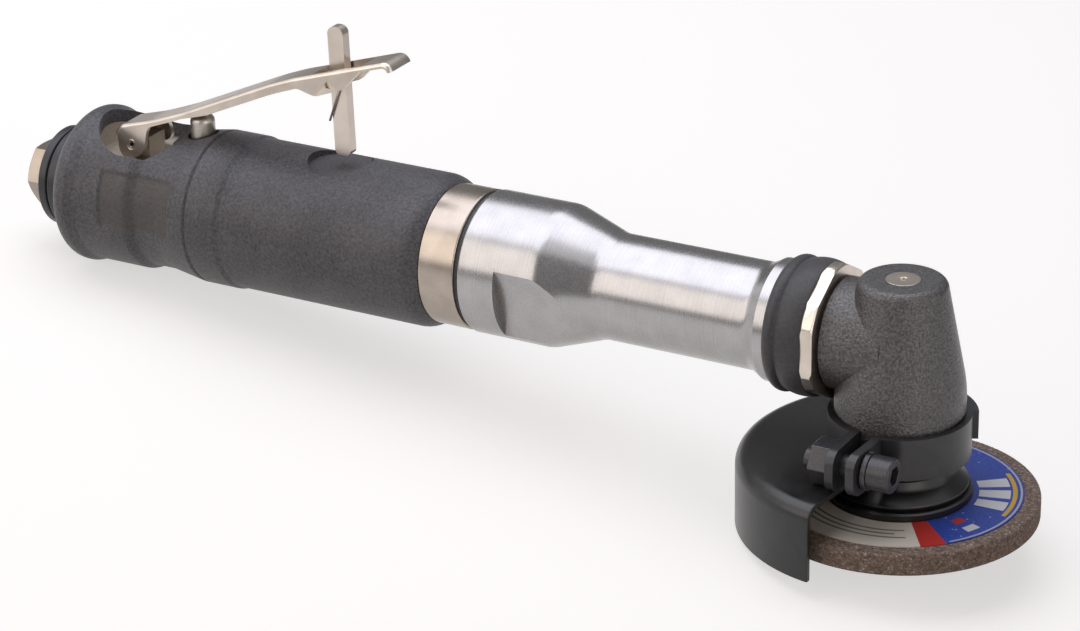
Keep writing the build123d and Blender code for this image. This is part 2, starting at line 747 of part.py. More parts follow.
# Throttle lever: a bent strip with a turned-down lip, and sides that widen to cheeks and to ears
with BuildPart() as throttle_lever:
    crest = [point[:2] for point in lever_crest]
    crest.append((LEVER_FRONT, LEVER_FRONT_TOP - LEVER_LIP))
    bends = [point[2] for point in lever_crest]
    inner_bends = bends[:-1] + [LEVER_BEND - LEVER_SHEET]
    inner_bends[1] = LEVER_BEND - LEVER_SHEET
    with BuildSketch(lever_plane):
        with BuildLine():
            FilletPolyline(
                *crest,
                *reversed(lowered(crest, LEVER_SHEET)),
                radius=[*bends, 0, 0, *reversed(inner_bends)],
                close=True,
            )
        make_face()
    extrude(amount=LEVER_WIDTH / 2, both=True)
    outer_edges = throttle_lever.edges().filter_by(lambda edge: abs(edge.center().Y) > lever_inside)
    fillet(outer_edges.sort_by(lambda edge: lever_plane.to_local_coords(edge.center()).Y)[-2:], LEVER_ROLL)
    ear_foot = LOCK_PIVOT_V - EAR_DROP
    ear_end = LOCK_PIVOT_U + EAR_FRONT
    side_top = (LEVER_ROLL + LEVER_SHEET) / 2
    side_tops = [-CHEEK_REAR, *[point[0] for point in lever_crest[1:-1]], ear_end]
    for inside in (lever_inside, -LEVER_WIDTH / 2):
        with BuildSketch(lever_plane.offset(inside)):
            with BuildLine():
                FilletPolyline(
                    *[(u, crest_height(u) - side_top) for u in side_tops],
                    (ear_end, crest_height(ear_end) - LEVER_SHEET),
                    (LOCK_PIVOT_U + EAR_FOOT_FRONT, ear_foot),
                    (LOCK_PIVOT_U - EAR_FOOT_REAR, ear_foot),
                    (LOCK_PIVOT_U - EAR_REAR, crest_height(LOCK_PIVOT_U - EAR_REAR) - LEVER_SIDE),
                    (LEVER_RISE, LEVER_RISE_TOP - LEVER_SIDE),
                    (LEVER_SIDE_START, crest_height(LEVER_SIDE_START) - LEVER_SIDE),
                    (LEVER_DIP_END, LEVER_DIP_TOP - LEVER_SHEET - GAP),
                    (CHEEK_TOP_FRONT, LEVER_DIP_TOP - LEVER_SHEET - GAP),
                    (CHEEK_FRONT, -CHEEK_R),
                    (-CHEEK_REAR, -CHEEK_R),
                    radius=[0] * (len(side_tops) + 1)
                    + [EAR_ROUND, EAR_ROUND, LEVER_BEND, LEVER_SWEEP, LEVER_BEND, LEVER_BEND]
                    + [CHEEK_SWEEP, CHEEK_ROUND, CHEEK_ROUND],
                    close=True,
                )
            make_face()
        extrude(amount=LEVER_SHEET)
    with BuildSketch(lever_plane):
        Circle(LEVER_PIN_R + RUN)
        with Locations((LOCK_PIVOT_U, LOCK_PIVOT_V)):
            Circle(LOCK_PIN_R + FIT)
    extrude(amount=LEVER_WIDTH, both=True, mode=Mode.SUBTRACT)
    window_top = lever_plane.from_local_coords((LOCK_PIVOT_U, LEVER_RISE_TOP + GAP, 0))
    with BuildSketch(Plane(window_top, lever_plane.x_dir, lever_plane.y_dir)):
        with Locations((-WINDOW_REAR, 0)):
            Rectangle(WINDOW_REAR + WINDOW_FRONT, 2 * lever_inside, align=(Align.MIN, Align.CENTER))
    extrude(amount=ear_foot - LEVER_RISE_TOP, mode=Mode.SUBTRACT)
throttle_lever.part.label = "throttle_lever"
export_step(throttle_lever.part, "parts/throttle_lever.step")

# Lock pin: a short pin, sunk in both ears
with BuildPart() as lock_pin:
    pin_half = LEVER_WIDTH / 2 - LOCK_PIN_RECESS
    with BuildSketch(lever_plane.offset(-pin_half)):
        with Locations((LOCK_PIVOT_U, LOCK_PIVOT_V)):
            Circle(LOCK_PIN_R)
    extrude(amount=2 * pin_half)
lock_pin.part.label = "lock_pin"
export_step(lock_pin.part, "parts/lock_pin.step")

# Lock-off lever: a flat bar that hangs from the lock pin
with BuildPart() as lock_lever:
    lean = math.radians(BAR_LEAN)
    bar_plane = Plane(
        origin=(lock_pivot.X, BAR_THICKNESS, lock_pivot.Z),
        x_dir=(math.cos(lean), 0, math.sin(lean)),
        z_dir=(0, -1, 0),
    )
    with BuildSketch(bar_plane):
        with BuildLine():
            FilletPolyline(
                (-BAR_WIDTH / 2, -BAR_DOWN),
                (BAR_WIDTH / 2, -BAR_DOWN),
                (BAR_WIDTH / 2, BAR_UP),
                (-BAR_WIDTH / 2, BAR_UP),
                radius=(BAR_FOOT_ROUND, BAR_FOOT_ROUND, BAR_TOP_ROUND, BAR_TOP_ROUND),
                close=True,
            )
        make_face()
        Circle(LOCK_PIN_R + RUN, mode=Mode.SUBTRACT)
    extrude(amount=BAR_THICKNESS)
lock_lever.part.label = "lock_lever"
export_step(lock_lever.part, "parts/lock_lever.step")

# Lock spring: a torsion spring round the lock pin, one leg on the bar and one under the plate
with BuildPart() as lock_spring:
    coil_start = -lever_inside + GAP / 2 + WIRE_R
    coil_frame = Plane((lock_pivot.X, coil_start, lock_pivot.Z), x_dir=(1, 0, 0), z_dir=(0, 1, 0))
    plate_angle = PLATE_LEG_RISE - LEVER_TILT - 90
    stations = coil_stations(
        coil_frame,
        COIL_R,
        plate_angle,
        BAR_LEG_LEAN - plate_angle + 360 * COIL_TURNS,
        -coil_start - GAP / 2 - WIRE_R,
    )
    with BuildLine() as spring_path:
        Line(stations[0][0] - stations[0][1] * PLATE_LEG_LENGTH, stations[0][0])
        wind(stations)
        Line(stations[-1][0], stations[-1][0] + stations[-1][1] * BAR_LEG_LENGTH)
    with BuildSketch(Plane(spring_path.wire() @ 0, z_dir=spring_path.wire() % 0)):
        Circle(WIRE_R)
    sweep()
print("lock_spring least gap", round(least_gap(spring_path.wire(), WIRE_R, COIL_R), 3))
lock_spring.part.label = "lock_spring"
export_step(lock_spring.part, "parts/lock_spring.step")

# Valve stem: the button under the lever, the stem, and the poppet that closes the seat from below
with BuildPart() as valve_stem:
    poppet_foot = POPPET_TOP - POPPET_HEIGHT
    spigot_r = VALVE_COIL_R - VALVE_WIRE_R - GAP
    turn_upright(
        x_valve,
        [
            (0, BUTTON_TOP),
            (BUTTON_R, BUTTON_TOP, BUTTON_ROUND),
            (BUTTON_R, z_button),
            (STEM_R, z_button),
            (STEM_R, POPPET_TOP),
            (POPPET_R, POPPET_TOP),
            (POPPET_R, poppet_foot),
            (spigot_r, poppet_foot),
            (spigot_r, poppet_foot - POPPET_HEIGHT),
            (0, poppet_foot - POPPET_HEIGHT),
        ],
    )
valve_stem.part.label = "valve_stem"
export_step(valve_stem.part, "parts/valve_stem.step")

# Valve spring: a compression spring between the floor of the valve bore and the poppet
with BuildPart() as valve_spring:
    coil_foot = VALVE_BORE_FLOOR + VALVE_WIRE_R
    coil_frame = Plane((x_valve, 0, coil_foot))
    coil_rise = poppet_foot - VALVE_WIRE_R - coil_foot
    with BuildLine() as valve_coil:
        wind(coil_stations(coil_frame, VALVE_COIL_R, 0, 360 * VALVE_COIL_TURNS, coil_rise))
    with BuildSketch(Plane(valve_coil.wire() @ 0, z_dir=valve_coil.wire() % 0)):
        Circle(VALVE_WIRE_R)
    sweep()
print("valve_spring least gap", round(least_gap(valve_coil.wire(), VALVE_WIRE_R, VALVE_COIL_R), 3))
valve_spring.part.label = "valve_spring"
export_step(valve_spring.part, "parts/valve_spring.step")

# Valve seat: a ring across the valve bore, above the airway
with BuildPart() as valve_seat:
    upright_ring(x_valve, z_seat_top - SEAT_HEIGHT, z_seat_top, SEAT_BORE_R, VALVE_BORE_R - FIT)
valve_seat.part.label = "valve_seat"
export_step(valve_seat.part, "parts/valve_seat.step")

# Valve seal: a ring round the stem, above the port to the motor
with BuildPart() as valve_seal:
    upright_ring(x_valve, z_seal, z_guide, STEM_R + RUN, VALVE_BORE_R - FIT)
valve_seal.part.label = "valve_seal"
export_step(valve_seal.part, "parts/valve_seal.step")

# Valve guide: the bush that the stem slides in
with BuildPart() as valve_guide:
    upright_ring(x_valve, z_guide, z_guide + GUIDE_HEIGHT, STEM_R + RUN, VALVE_BORE_R - FIT)
valve_guide.part.label = "valve_guide"
export_step(valve_guide.part, "parts/valve_guide.step")

# Rear end plate: carries the rear rotor bearing, with the air port and the exhaust holes through it
with BuildPart() as rear_end_plate:
    ring(x_motor, x_cylinder, JOURNAL_R + GAP, MOTOR_BORE_R - FIT)
    ring(x_motor, x_cylinder - PLATE_WEB, 0, ROTOR_BEARING_R + FIT, Mode.SUBTRACT)
    with BuildSketch(Plane.YZ.offset(x_motor)):
        for side in (0, 180):
            first = side - EXHAUST_SPREAD
            with PolarLocations(EXHAUST_PITCH_R, 3, first, 2 * EXHAUST_SPREAD, endpoint=True):
                Circle(EXHAUST_R)
        with Locations((0, EXHAUST_PITCH_R)):
            Circle(PORT_R)
    extrude(amount=REAR_PLATE_LENGTH, mode=Mode.SUBTRACT)
rear_end_plate.part.label = "rear_end_plate"
export_step(rear_end_plate.part, "parts/rear_end_plate.step")

# Motor cylinder: a liner whose bore is set below the rotor's axis
with BuildPart() as motor_cylinder:
    ring(x_cylinder, x_front_plate, 0, MOTOR_BORE_R - FIT)
    with BuildSketch(Plane.YZ.offset(x_cylinder)):
        with Locations((0, -CYLINDER_OFFSET)):
            Circle(CYLINDER_BORE_R)
    extrude(amount=CYLINDER_LENGTH, mode=Mode.SUBTRACT)
motor_cylinder.part.label = "motor_cylinder"
export_step(motor_cylinder.part, "parts/motor_cylinder.step")

# Front end plate: carries the front rotor bearing
with BuildPart() as front_end_plate:
    ring(x_front_plate, x_drum, JOURNAL_R + GAP, MOTOR_BORE_R - FIT)
    ring(x_front_plate + PLATE_WEB, x_drum, 0, ROTOR_BEARING_R + FIT, Mode.SUBTRACT)
front_end_plate.part.label = "front_end_plate"
export_step(front_end_plate.part, "parts/front_end_plate.step")

# Rotor bearings, one in each end plate
with BuildPart() as rear_rotor_bearing:
    turn(bearing_outline(x_motor + FIT, x_cylinder - PLATE_WEB, JOURNAL_R + RUN, ROTOR_BEARING_R))
rear_rotor_bearing.part.label = "rear_rotor_bearing"
export_step(rear_rotor_bearing.part, "parts/rear_rotor_bearing.step")

with BuildPart() as front_rotor_bearing:
    turn(bearing_outline(x_front_plate + PLATE_WEB, x_drum - FIT, JOURNAL_R + RUN, ROTOR_BEARING_R))
front_rotor_bearing.part.label = "front_rotor_bearing"
export_step(front_rotor_bearing.part, "parts/front_rotor_bearing.step")

# Rotor: a slotted drum with a journal at each end
with BuildPart() as rotor:
    ring(x_cylinder + GAP, x_front_plate - GAP, 0, rotor_r)
    ring(x_motor + GAP, x_coupling_middle - GAP, 0, JOURNAL_R)
    with BuildSketch(Plane.YZ.offset(x_cylinder)):
        with PolarLocations(rotor_r, VANE_COUNT):
            Rectangle(2 * (VANE_DEPTH + FIT), VANE_THICKNESS + 2 * FIT)
    extrude(amount=CYLINDER_LENGTH, mode=Mode.SUBTRACT)
rotor.part.label = "rotor"
export_step(rotor.part, "parts/rotor.step")

# Vanes: five loose blades, drawn in flush with the rotor
with BuildPart() as rotor_vanes:
    with BuildSketch(Plane.YZ.offset(x_cylinder + GAP)):
        with PolarLocations(rotor_r, VANE_COUNT):
            Rectangle(VANE_DEPTH, VANE_THICKNESS, align=(Align.MAX, Align.CENTER))
        Circle(rotor_r, mode=Mode.INTERSECT)
    extrude(amount=CYLINDER_LENGTH - 2 * GAP)
rotor_vanes.part.label = "rotor_vanes"
export_step(rotor_vanes.part, "parts/rotor_vanes.step")

# Collar ring between the grip and the extension, with a dark seal behind it
with BuildPart() as collar_ring:
    turn(
        [
            (x_collar, MOTOR_BORE_R),
            (x_collar_seal, MOTOR_BORE_R),
            (x_collar_seal, COLLAR_R, COLLAR_EDGE),
            (x_collar, COLLAR_R, COLLAR_EDGE),
        ]
    )
collar_ring.part.label = "collar_ring"
export_step(collar_ring.part, "parts/collar_ring.step")

with BuildPart() as collar_seal:
    ring(x_collar_seal, x_extension, MOTOR_BORE_R, COLLAR_SEAL_R)
collar_seal.part.label = "collar_seal"
export_step(collar_seal.part, "parts/collar_seal.step")

# Extension housing: a drum with wrench flats, a cone and a slim tube with a threaded front end
with BuildPart() as extension_housing:
    x_flare = x_nut - FLARE_SETBACK
    x_seat_end = x_tube + SHAFT_BEARING_WIDTH
    turn(
        [
            (x_drum, DRUM_BORE_R),
            (x_drum, MOTOR_BORE_R - FIT),
            (x_extension, MOTOR_BORE_R - FIT),
            (x_extension, DRUM_R, DRUM_EDGE),
            (x_cone, DRUM_R, CONE_ROUND),
            (x_tube, TUBE_R, CONE_ROUND),
            (x_flare - FLARE_LENGTH, TUBE_R, FLARE_ROUND),
            (x_flare, FLARE_R),
            (x_flare + FLARE_LIP, FLARE_R),
            (x_flare + FLARE_LIP, FRONT_THREAD_R),
            (x_nut, FRONT_THREAD_R),
            (x_nut, FRONT_BORE_R),
            (x_head - GAP, FRONT_BORE_R),
            (x_head - GAP, TUBE_BORE_R),
            (x_seat_end, TUBE_BORE_R),
            (x_seat_end, FRONT_BORE_R),
            (x_cone, FRONT_BORE_R),
            (x_cone, DRUM_BORE_R),
        ]
    )
    for side in (-1, 1):
        turned = math.radians(FLAT_TURN)
        flat = Plane(
            (x_extension + FLAT_SETBACK, 0, 0),
            (1, 0, 0),
            (0, side * math.cos(turned), side * math.sin(turned)),
        )
        with BuildSketch(flat.offset(FLAT_DISTANCE)):
            Rectangle(x_tube - x_extension, 2 * DRUM_R, align=(Align.MIN, Align.CENTER))
        extrude(amount=DRUM_R - FLAT_DISTANCE, mode=Mode.SUBTRACT)
extension_housing.part.label = "extension_housing"
export_step(extension_housing.part, "parts/extension_housing.step")

# Drive shaft, its coupling to the rotor and the bearing at the foot of the tube
with BuildPart() as shaft_coupling:
    ring(x_coupling, x_coupling + COUPLING_LENGTH, 0, COUPLING_R)
    ring(x_coupling, x_coupling_middle, 0, JOURNAL_R + FIT, Mode.SUBTRACT)
    ring(x_coupling_middle, x_coupling + COUPLING_LENGTH, 0, SHAFT_R + FIT, Mode.SUBTRACT)
shaft_coupling.part.label = "shaft_coupling"
export_step(shaft_coupling.part, "parts/shaft_coupling.step")

with BuildPart() as drive_shaft:
    ring(x_coupling_middle + GAP, x_rear_bearing - GAP, 0, SHAFT_R)
    ring(x_rear_bearing - GAP, x_rear_bearing + SHAFT_NOSE_LENGTH, 0, SHAFT_NOSE_R)
drive_shaft.part.label = "drive_shaft"
export_step(drive_shaft.part, "parts/drive_shaft.step")

with BuildPart() as shaft_bearing:
    turn(bearing_outline(x_tube, x_tube + SHAFT_BEARING_WIDTH, SHAFT_R + RUN, FRONT_BORE_R - FIT))
shaft_bearing.part.label = "shaft_bearing"
export_step(shaft_bearing.part, "parts/shaft_bearing.step")

# Rubber band: two rounded ridges over the skirt of the lock nut
with BuildPart() as rubber_band:
    x_band = x_nut - BAND_LENGTH
    x_valley = x_band + BAND_LENGTH * BAND_REAR_SHARE
    with BuildSketch(Plane.XZ):
        with BuildLine():
            Line((x_nut, BAND_BORE_R), (x_band, BAND_BORE_R))
            Line((x_band, BAND_BORE_R), (x_band, BAND_BORE_R + GAP))
            ThreePointArc(
                (x_band, BAND_BORE_R + GAP),
                ((x_band + x_valley) / 2, BAND_REAR_RIDGE_R),
                (x_valley, BAND_VALLEY_R),
            )
            ThreePointArc(
                (x_valley, BAND_VALLEY_R),
                ((x_valley + x_nut) / 2, BAND_FRONT_RIDGE_R),
                (x_nut, BAND_VALLEY_R + GAP),
            )
            Line((x_nut, BAND_VALLEY_R + GAP), (x_nut, BAND_BORE_R))
        make_face()
    revolve(axis=Axis.X)
rubber_band.part.label = "rubber_band"
export_step(rubber_band.part, "parts/rubber_band.step")

# Lock nut: a hexagon with cut corners, a threaded skirt under the band and a lip that holds the head
with BuildPart() as lock_nut:
    with BuildSketch(Plane.YZ.offset(x_nut)):
        RegularPolygon(NUT_FLATS / 2, 6, major_radius=False, rotation=30)
        RegularPolygon(NUT_CORNERS / 2, 6, major_radius=False, mode=Mode.INTERSECT)
    extrude(amount=NUT_LENGTH)
    nut_r = NUT_CORNERS / 2 + GAP
    turn(
        [
            (x_nut, 0),
            (x_nut, nut_r - NUT_BEVEL),
            (x_nut + NUT_BEVEL, nut_r),
            (x_neck - NUT_BEVEL, nut_r),
            (x_neck, nut_r - NUT_BEVEL),
            (x_neck, 0),
        ],
        mode=Mode.INTERSECT,
    )
    ring(x_nut - NUT_SKIRT_LENGTH, x_nut, 0, NUT_SKIRT_R)
    ring(x_nut - NUT_SKIRT_LENGTH, x_neck - NUT_LIP_LENGTH, 0, FRONT_THREAD_R + FIT, Mode.SUBTRACT)
    ring(x_neck - NUT_LIP_LENGTH, x_neck, 0, NUT_LIP_R, Mode.SUBTRACT)
lock_nut.part.label = "lock_nut"
export_step(lock_nut.part, "parts/lock_nut.step")

# Head housing: a cast cone on a nose, with a neck and a flanged spigot that swivels in the tube
with BuildPart() as head_housing:
    turn_upright(
        x_spindle,
        [
            (0, HEAD_TOP),
            (HEAD_TOP_R, HEAD_TOP),
            (HEAD_FOOT_R, HEAD_BREAK, HEAD_BREAK_ROUND),
            (HEAD_FOOT_R, HEAD_FOOT),
            (NOSE_R, HEAD_FOOT),
            (NOSE_R, NOSE_FOOT),
            (0, NOSE_FOOT),
        ],
    )
    crown = head_housing.edges().filter_by(GeomType.CIRCLE).sort_by(Axis.Z)[-1]
    ring(x_neck + NECK_GAP, x_spindle, 0, NECK_R)
    fillet(crown, HEAD_TOP_ROUND)
    x_flange_end = x_neck - NUT_LIP_LENGTH - GAP
    spigot_r = FRONT_BORE_R - SWIVEL_FIT
    turn(
        [
            (x_head, 0),
            (x_head, spigot_r),
            (x_nut + GAP, spigot_r),
            (x_nut + GAP, HEAD_FLANGE_R),
            (x_flange_end, HEAD_FLANGE_R),
            (x_flange_end, NUT_LIP_R - GAP),
            (x_spindle - GEAR_CAVITY_R, NUT_LIP_R - GAP),
            (x_spindle - GEAR_CAVITY_R, 0),
        ]
    )
    pinion_room = cone_point(pinion_cone, cone_length, ADDENDUM)[1] + 3 * GAP
    ring(x_head, x_neck, 0, PINION_BEARING_R + FIT, Mode.SUBTRACT)
    ring(x_neck, x_spindle, 0, pinion_room, Mode.SUBTRACT)
    upright_ring(x_spindle, LOWER_BEARING_TOP, GEAR_CAVITY_TOP, 0, GEAR_CAVITY_R, Mode.SUBTRACT)
    upright_ring(x_spindle, NOSE_FOOT, LOWER_BEARING_TOP, 0, LOWER_BEARING_R + FIT, Mode.SUBTRACT)
    upper_top = UPPER_BEARING_FOOT + UPPER_BEARING_WIDTH
    upright_ring(x_spindle, GEAR_CAVITY_TOP, upper_top, 0, UPPER_BEARING_R + FIT, Mode.SUBTRACT)
    upright_ring(x_spindle, HEAD_TOP - PLUG_DEPTH, HEAD_TOP, 0, PLUG_R + FIT, Mode.SUBTRACT)
    upright_ring(x_spindle, upper_top, HEAD_TOP, 0, PLUG_SHANK_R + FIT, Mode.SUBTRACT)
head_housing.part.label = "head_housing"
export_step(head_housing.part, "parts/head_housing.step")

# Grease plug: a disc flush with the top of the head, on a short shank
with BuildPart() as grease_plug:
    plug_foot = HEAD_TOP - PLUG_DEPTH
    turn_upright(
        x_spindle,
        [
            (0, HEAD_TOP - PLUG_DEPTH / 2),
            (PLUG_HOLE_R, HEAD_TOP - PLUG_DEPTH / 2),
            (PLUG_HOLE_R, HEAD_TOP),
            (PLUG_R, HEAD_TOP),
            (PLUG_R, plug_foot),
            (PLUG_SHANK_R, plug_foot),
            (PLUG_SHANK_R, plug_foot - PLUG_SHANK_LENGTH),
            (0, plug_foot - PLUG_SHANK_LENGTH),
        ],
    )
grease_plug.part.label = "grease_plug"
export_step(grease_plug.part, "parts/grease_plug.step")

# Pinion bearings in the spigot, with a spacer between them
with BuildPart() as rear_pinion_bearing:
    x_end = x_rear_bearing + PINION_BEARING_WIDTH
    turn(bearing_outline(x_rear_bearing, x_end, PINION_SHANK_R + RUN, PINION_BEARING_R))
rear_pinion_bearing.part.label = "rear_pinion_bearing"
export_step(rear_pinion_bearing.part, "parts/rear_pinion_bearing.step")

with BuildPart() as pinion_spacer:
    x_start = x_rear_bearing + PINION_BEARING_WIDTH
    ring(x_start, x_front_bearing, PINION_BEARING_R - PINION_SPACER_WALL, PINION_BEARING_R)
pinion_spacer.part.label = "pinion_spacer"
export_step(pinion_spacer.part, "parts/pinion_spacer.step")

with BuildPart() as front_pinion_bearing:
    turn(bearing_outline(x_front_bearing, x_neck, PINION_SHANK_R + RUN, PINION_BEARING_R))
front_pinion_bearing.part.label = "front_pinion_bearing"
export_step(front_pinion_bearing.part, "parts/front_pinion_bearing.step")

# Bevel pinion: straight teeth on a cone, with a long shank for its bearings and the drive shaft
pinion_space = tooth_space(1)
with BuildPart() as bevel_pinion:
    back = cone_point(pinion_cone, cone_length, -DEDENDUM - RIM)
    front = cone_point(pinion_cone, cone_length * inner_share, -DEDENDUM - RIM)
    tip_back = cone_point(pinion_cone, cone_length, ADDENDUM)
    tip_front = cone_point(pinion_cone, cone_length * inner_share, ADDENDUM * inner_share)
    turn(
        [
            (x_rear_bearing, 0),
            (x_rear_bearing, PINION_SHANK_R),
            (x_spindle - back[0], PINION_SHANK_R),
            (x_spindle - back[0], back[1]),
            (x_spindle - tip_back[0], tip_back[1]),
            (x_spindle - tip_front[0], tip_front[1]),
            (x_spindle - front[0], front[1]),
            (x_spindle - front[0], 0),
        ]
    )
    nose_depth = x_rear_bearing + SHAFT_NOSE_LENGTH + GAP
    ring(x_rear_bearing, nose_depth, 0, SHAFT_NOSE_R + FIT, Mode.SUBTRACT)
    add(
        [pinion_space.rotate(pinion_axis, 360 * tooth / PINION_TEETH) for tooth in range(PINION_TEETH)],
        mode=Mode.SUBTRACT,
    )
bevel_pinion.part.label = "bevel_pinion"
export_step(bevel_pinion.part, "parts/bevel_pinion.step")

# Bevel gear: the same teeth on the wider cone, keyed to the spindle
gear_space = tooth_space(-1)
with BuildPart() as bevel_gear:
    gear_cone = math.pi / 2 - pinion_cone
    back = cone_point(gear_cone, cone_length, -DEDENDUM - RIM)
    front = cone_point(gear_cone, cone_length * inner_share, -DEDENDUM - RIM)
    tip_back = cone_point(gear_cone, cone_length, ADDENDUM)
    tip_front = cone_point(gear_cone, cone_length * inner_share, ADDENDUM * inner_share)
    turn_upright(
        x_spindle,
        [
            (SPINDLE_R + FIT, -front[0]),
            (front[1], -front[0]),
            (tip_front[1], -tip_front[0]),
            (tip_back[1], -tip_back[0]),
            (back[1], -back[0]),
            (GEAR_HUB_R, -back[0]),
            (GEAR_HUB_R, GEAR_HUB_FOOT),
            (SPINDLE_R + FIT, GEAR_HUB_FOOT),
        ],
    )
    add(
        [
            gear_space.rotate(spindle_axis, 360 * (tooth + 0.5) / GEAR_TEETH)
            for tooth in range(GEAR_TEETH)
        ],
        mode=Mode.SUBTRACT,
    )
    with BuildSketch(Plane.XY.offset(GEAR_HUB_FOOT)):
        with Locations((x_spindle + SPINDLE_R, 0)):
            Rectangle(KEY_SIZE + 2 * FIT, KEY_SIZE + 2 * FIT)
    extrude(amount=KEY_LENGTH + FIT, mode=Mode.SUBTRACT)
bevel_gear.part.label = "bevel_gear"
export_step(bevel_gear.part, "parts/bevel_gear.step")

# Gear key, half in the spindle and half in the gear
with BuildPart() as gear_key:
    with BuildSketch(Plane.XY.offset(GEAR_HUB_FOOT + FIT)):
        with Locations((x_spindle + SPINDLE_R, 0)):
            Rectangle(KEY_SIZE, KEY_SIZE)
    extrude(amount=KEY_LENGTH - FIT)
gear_key.part.label = "gear_key"
export_step(gear_key.part, "parts/gear_key.step")

# Spindle bearings and the cap that holds the lower one
with BuildPart() as upper_spindle_bearing:
    upper_section = bearing_outline(UPPER_BEARING_FOOT, upper_top, UPPER_JOURNAL_R + RUN, UPPER_BEARING_R)
    turn_upright(x_spindle, [(radius, height) for height, radius in upper_section])
upper_spindle_bearing.part.label = "upper_spindle_bearing"
export_step(upper_spindle_bearing.part, "parts/upper_spindle_bearing.step")

with BuildPart() as lower_spindle_bearing:
    lower_foot = LOWER_BEARING_TOP - LOWER_BEARING_WIDTH
    lower_section = bearing_outline(lower_foot, LOWER_BEARING_TOP, LOWER_JOURNAL_R + RUN, LOWER_BEARING_R)
    turn_upright(x_spindle, [(radius, height) for height, radius in lower_section])
lower_spindle_bearing.part.label = "lower_spindle_bearing"
export_step(lower_spindle_bearing.part, "parts/lower_spindle_bearing.step")

with BuildPart() as bearing_cap:
    upright_ring(x_spindle, BEARING_CAP_FOOT, lower_foot, SHOULDER_R + GAP, LOWER_BEARING_R)
bearing_cap.part.label = "bearing_cap"
export_step(bearing_cap.part, "parts/bearing_cap.step")

# Spindle: an upper journal, the gear seat, the lower journal, a shoulder and a threaded end
with BuildPart() as spindle:
    turn_upright(
        x_spindle,
        [
            (0, upper_top - GAP),
            (UPPER_JOURNAL_R, upper_top - GAP),
            (UPPER_JOURNAL_R, UPPER_BEARING_FOOT - GAP),
            (SPINDLE_R, UPPER_BEARING_FOOT - GAP),
            (SPINDLE_R, GEAR_HUB_FOOT),
            (LOWER_JOURNAL_R, GEAR_HUB_FOOT),
            (LOWER_JOURNAL_R, lower_foot - GAP),
            (SHOULDER_R, lower_foot - GAP),
            (SHOULDER_R, FLANGE_TOP),
            (THREAD_R, FLANGE_TOP),
            (THREAD_R, THREAD_END, GAP),
            (0, THREAD_END),
        ],
    )
    with BuildSketch(Plane.XY.offset(GEAR_HUB_FOOT)):
        with Locations((x_spindle + SPINDLE_R, 0)):
            Rectangle(KEY_SIZE + 2 * FIT, KEY_SIZE + 2 * FIT)
    extrude(amount=KEY_LENGTH + FIT, mode=Mode.SUBTRACT)
spindle.part.label = "spindle"
export_step(spindle.part, "parts/spindle.step")

# Wheel flange: a domed disc with a grooved lip, hollow where it sits on the hub of the wheel
with BuildPart() as wheel_flange:
    hub_edge = HUB_R + HUB_SLOPE
    lip_foot = WHEEL_TOP + GAP
    z_groove = lip_foot + FLANGE_LIP
    turn_upright(
        x_spindle,
        [
            (THREAD_R + FIT, FLANGE_TOP),
            (FLANGE_TOP_R, FLANGE_TOP, GAP),
            (FLANGE_WAIST_R, FLANGE_TOP - FLANGE_WAIST_DROP, FLANGE_ROUND),
            (FLANGE_R - FLANGE_GROOVE, z_groove + 2 * FLANGE_GROOVE, FLANGE_GROOVE),
            (FLANGE_R - 2 * FLANGE_GROOVE, z_groove),
            (FLANGE_R, z_groove, FLANGE_GROOVE),
            (FLANGE_R, lip_foot),
            (hub_edge, lip_foot),
            (HUB_R, z_wheel_hub),
            (THREAD_R + FIT, z_wheel_hub),
        ],
    )
wheel_flange.part.label = "wheel_flange"
export_step(wheel_flange.part, "parts/wheel_flange.step")

# Grinding wheel: a disc with a raised hub, depressed underneath for the clamp nut
with BuildPart() as grinding_wheel:
    wheel_foot = WHEEL_TOP - WHEEL_THICKNESS
    turn_upright(
        x_spindle,
        [
            (WHEEL_BORE_R, z_wheel_hub),
            (HUB_R - FIT, z_wheel_hub),
            (HUB_R + HUB_SLOPE - FIT, WHEEL_TOP),
            (WHEEL_R, WHEEL_TOP, WHEEL_EDGE),
            (WHEEL_R, wheel_foot, WHEEL_EDGE),
            (HUB_R + HUB_SLOPE, wheel_foot),
            (HUB_R - HUB_SLOPE + WHEEL_THICKNESS - HUB_THICKNESS, z_clamp_nut),
            (WHEEL_BORE_R, z_clamp_nut),
        ],
    )
grinding_wheel.part.label = "grinding_wheel"
export_step(grinding_wheel.part, "parts/grinding_wheel.step")

# Wheel label: a printed paper ring on the upper face of the wheel
with BuildPart() as wheel_label:
    upright_ring(x_spindle, WHEEL_TOP, WHEEL_TOP + LABEL_THICKNESS, FLANGE_R + GAP, LABEL_R)
wheel_label.part.label = "wheel_label"
export_step(wheel_label.part, "parts/wheel_label.step")

# Clamp nut: a round nut with two spanner holes, in the hollow under the wheel
with BuildPart() as clamp_nut:
    upright_ring(x_spindle, z_clamp_nut - CLAMP_NUT_LENGTH, z_clamp_nut, THREAD_R + FIT, CLAMP_NUT_R)
    with BuildSketch(Plane.XY.offset(z_clamp_nut - CLAMP_NUT_LENGTH)):
        with Locations((x_spindle - SPANNER_PITCH_R, 0), (x_spindle + SPANNER_PITCH_R, 0)):
            Circle(SPANNER_HOLE_R)
    extrude(amount=CLAMP_NUT_LENGTH, mode=Mode.SUBTRACT)
clamp_nut.part.label = "clamp_nut"
export_step(clamp_nut.part, "parts/clamp_nut.step")

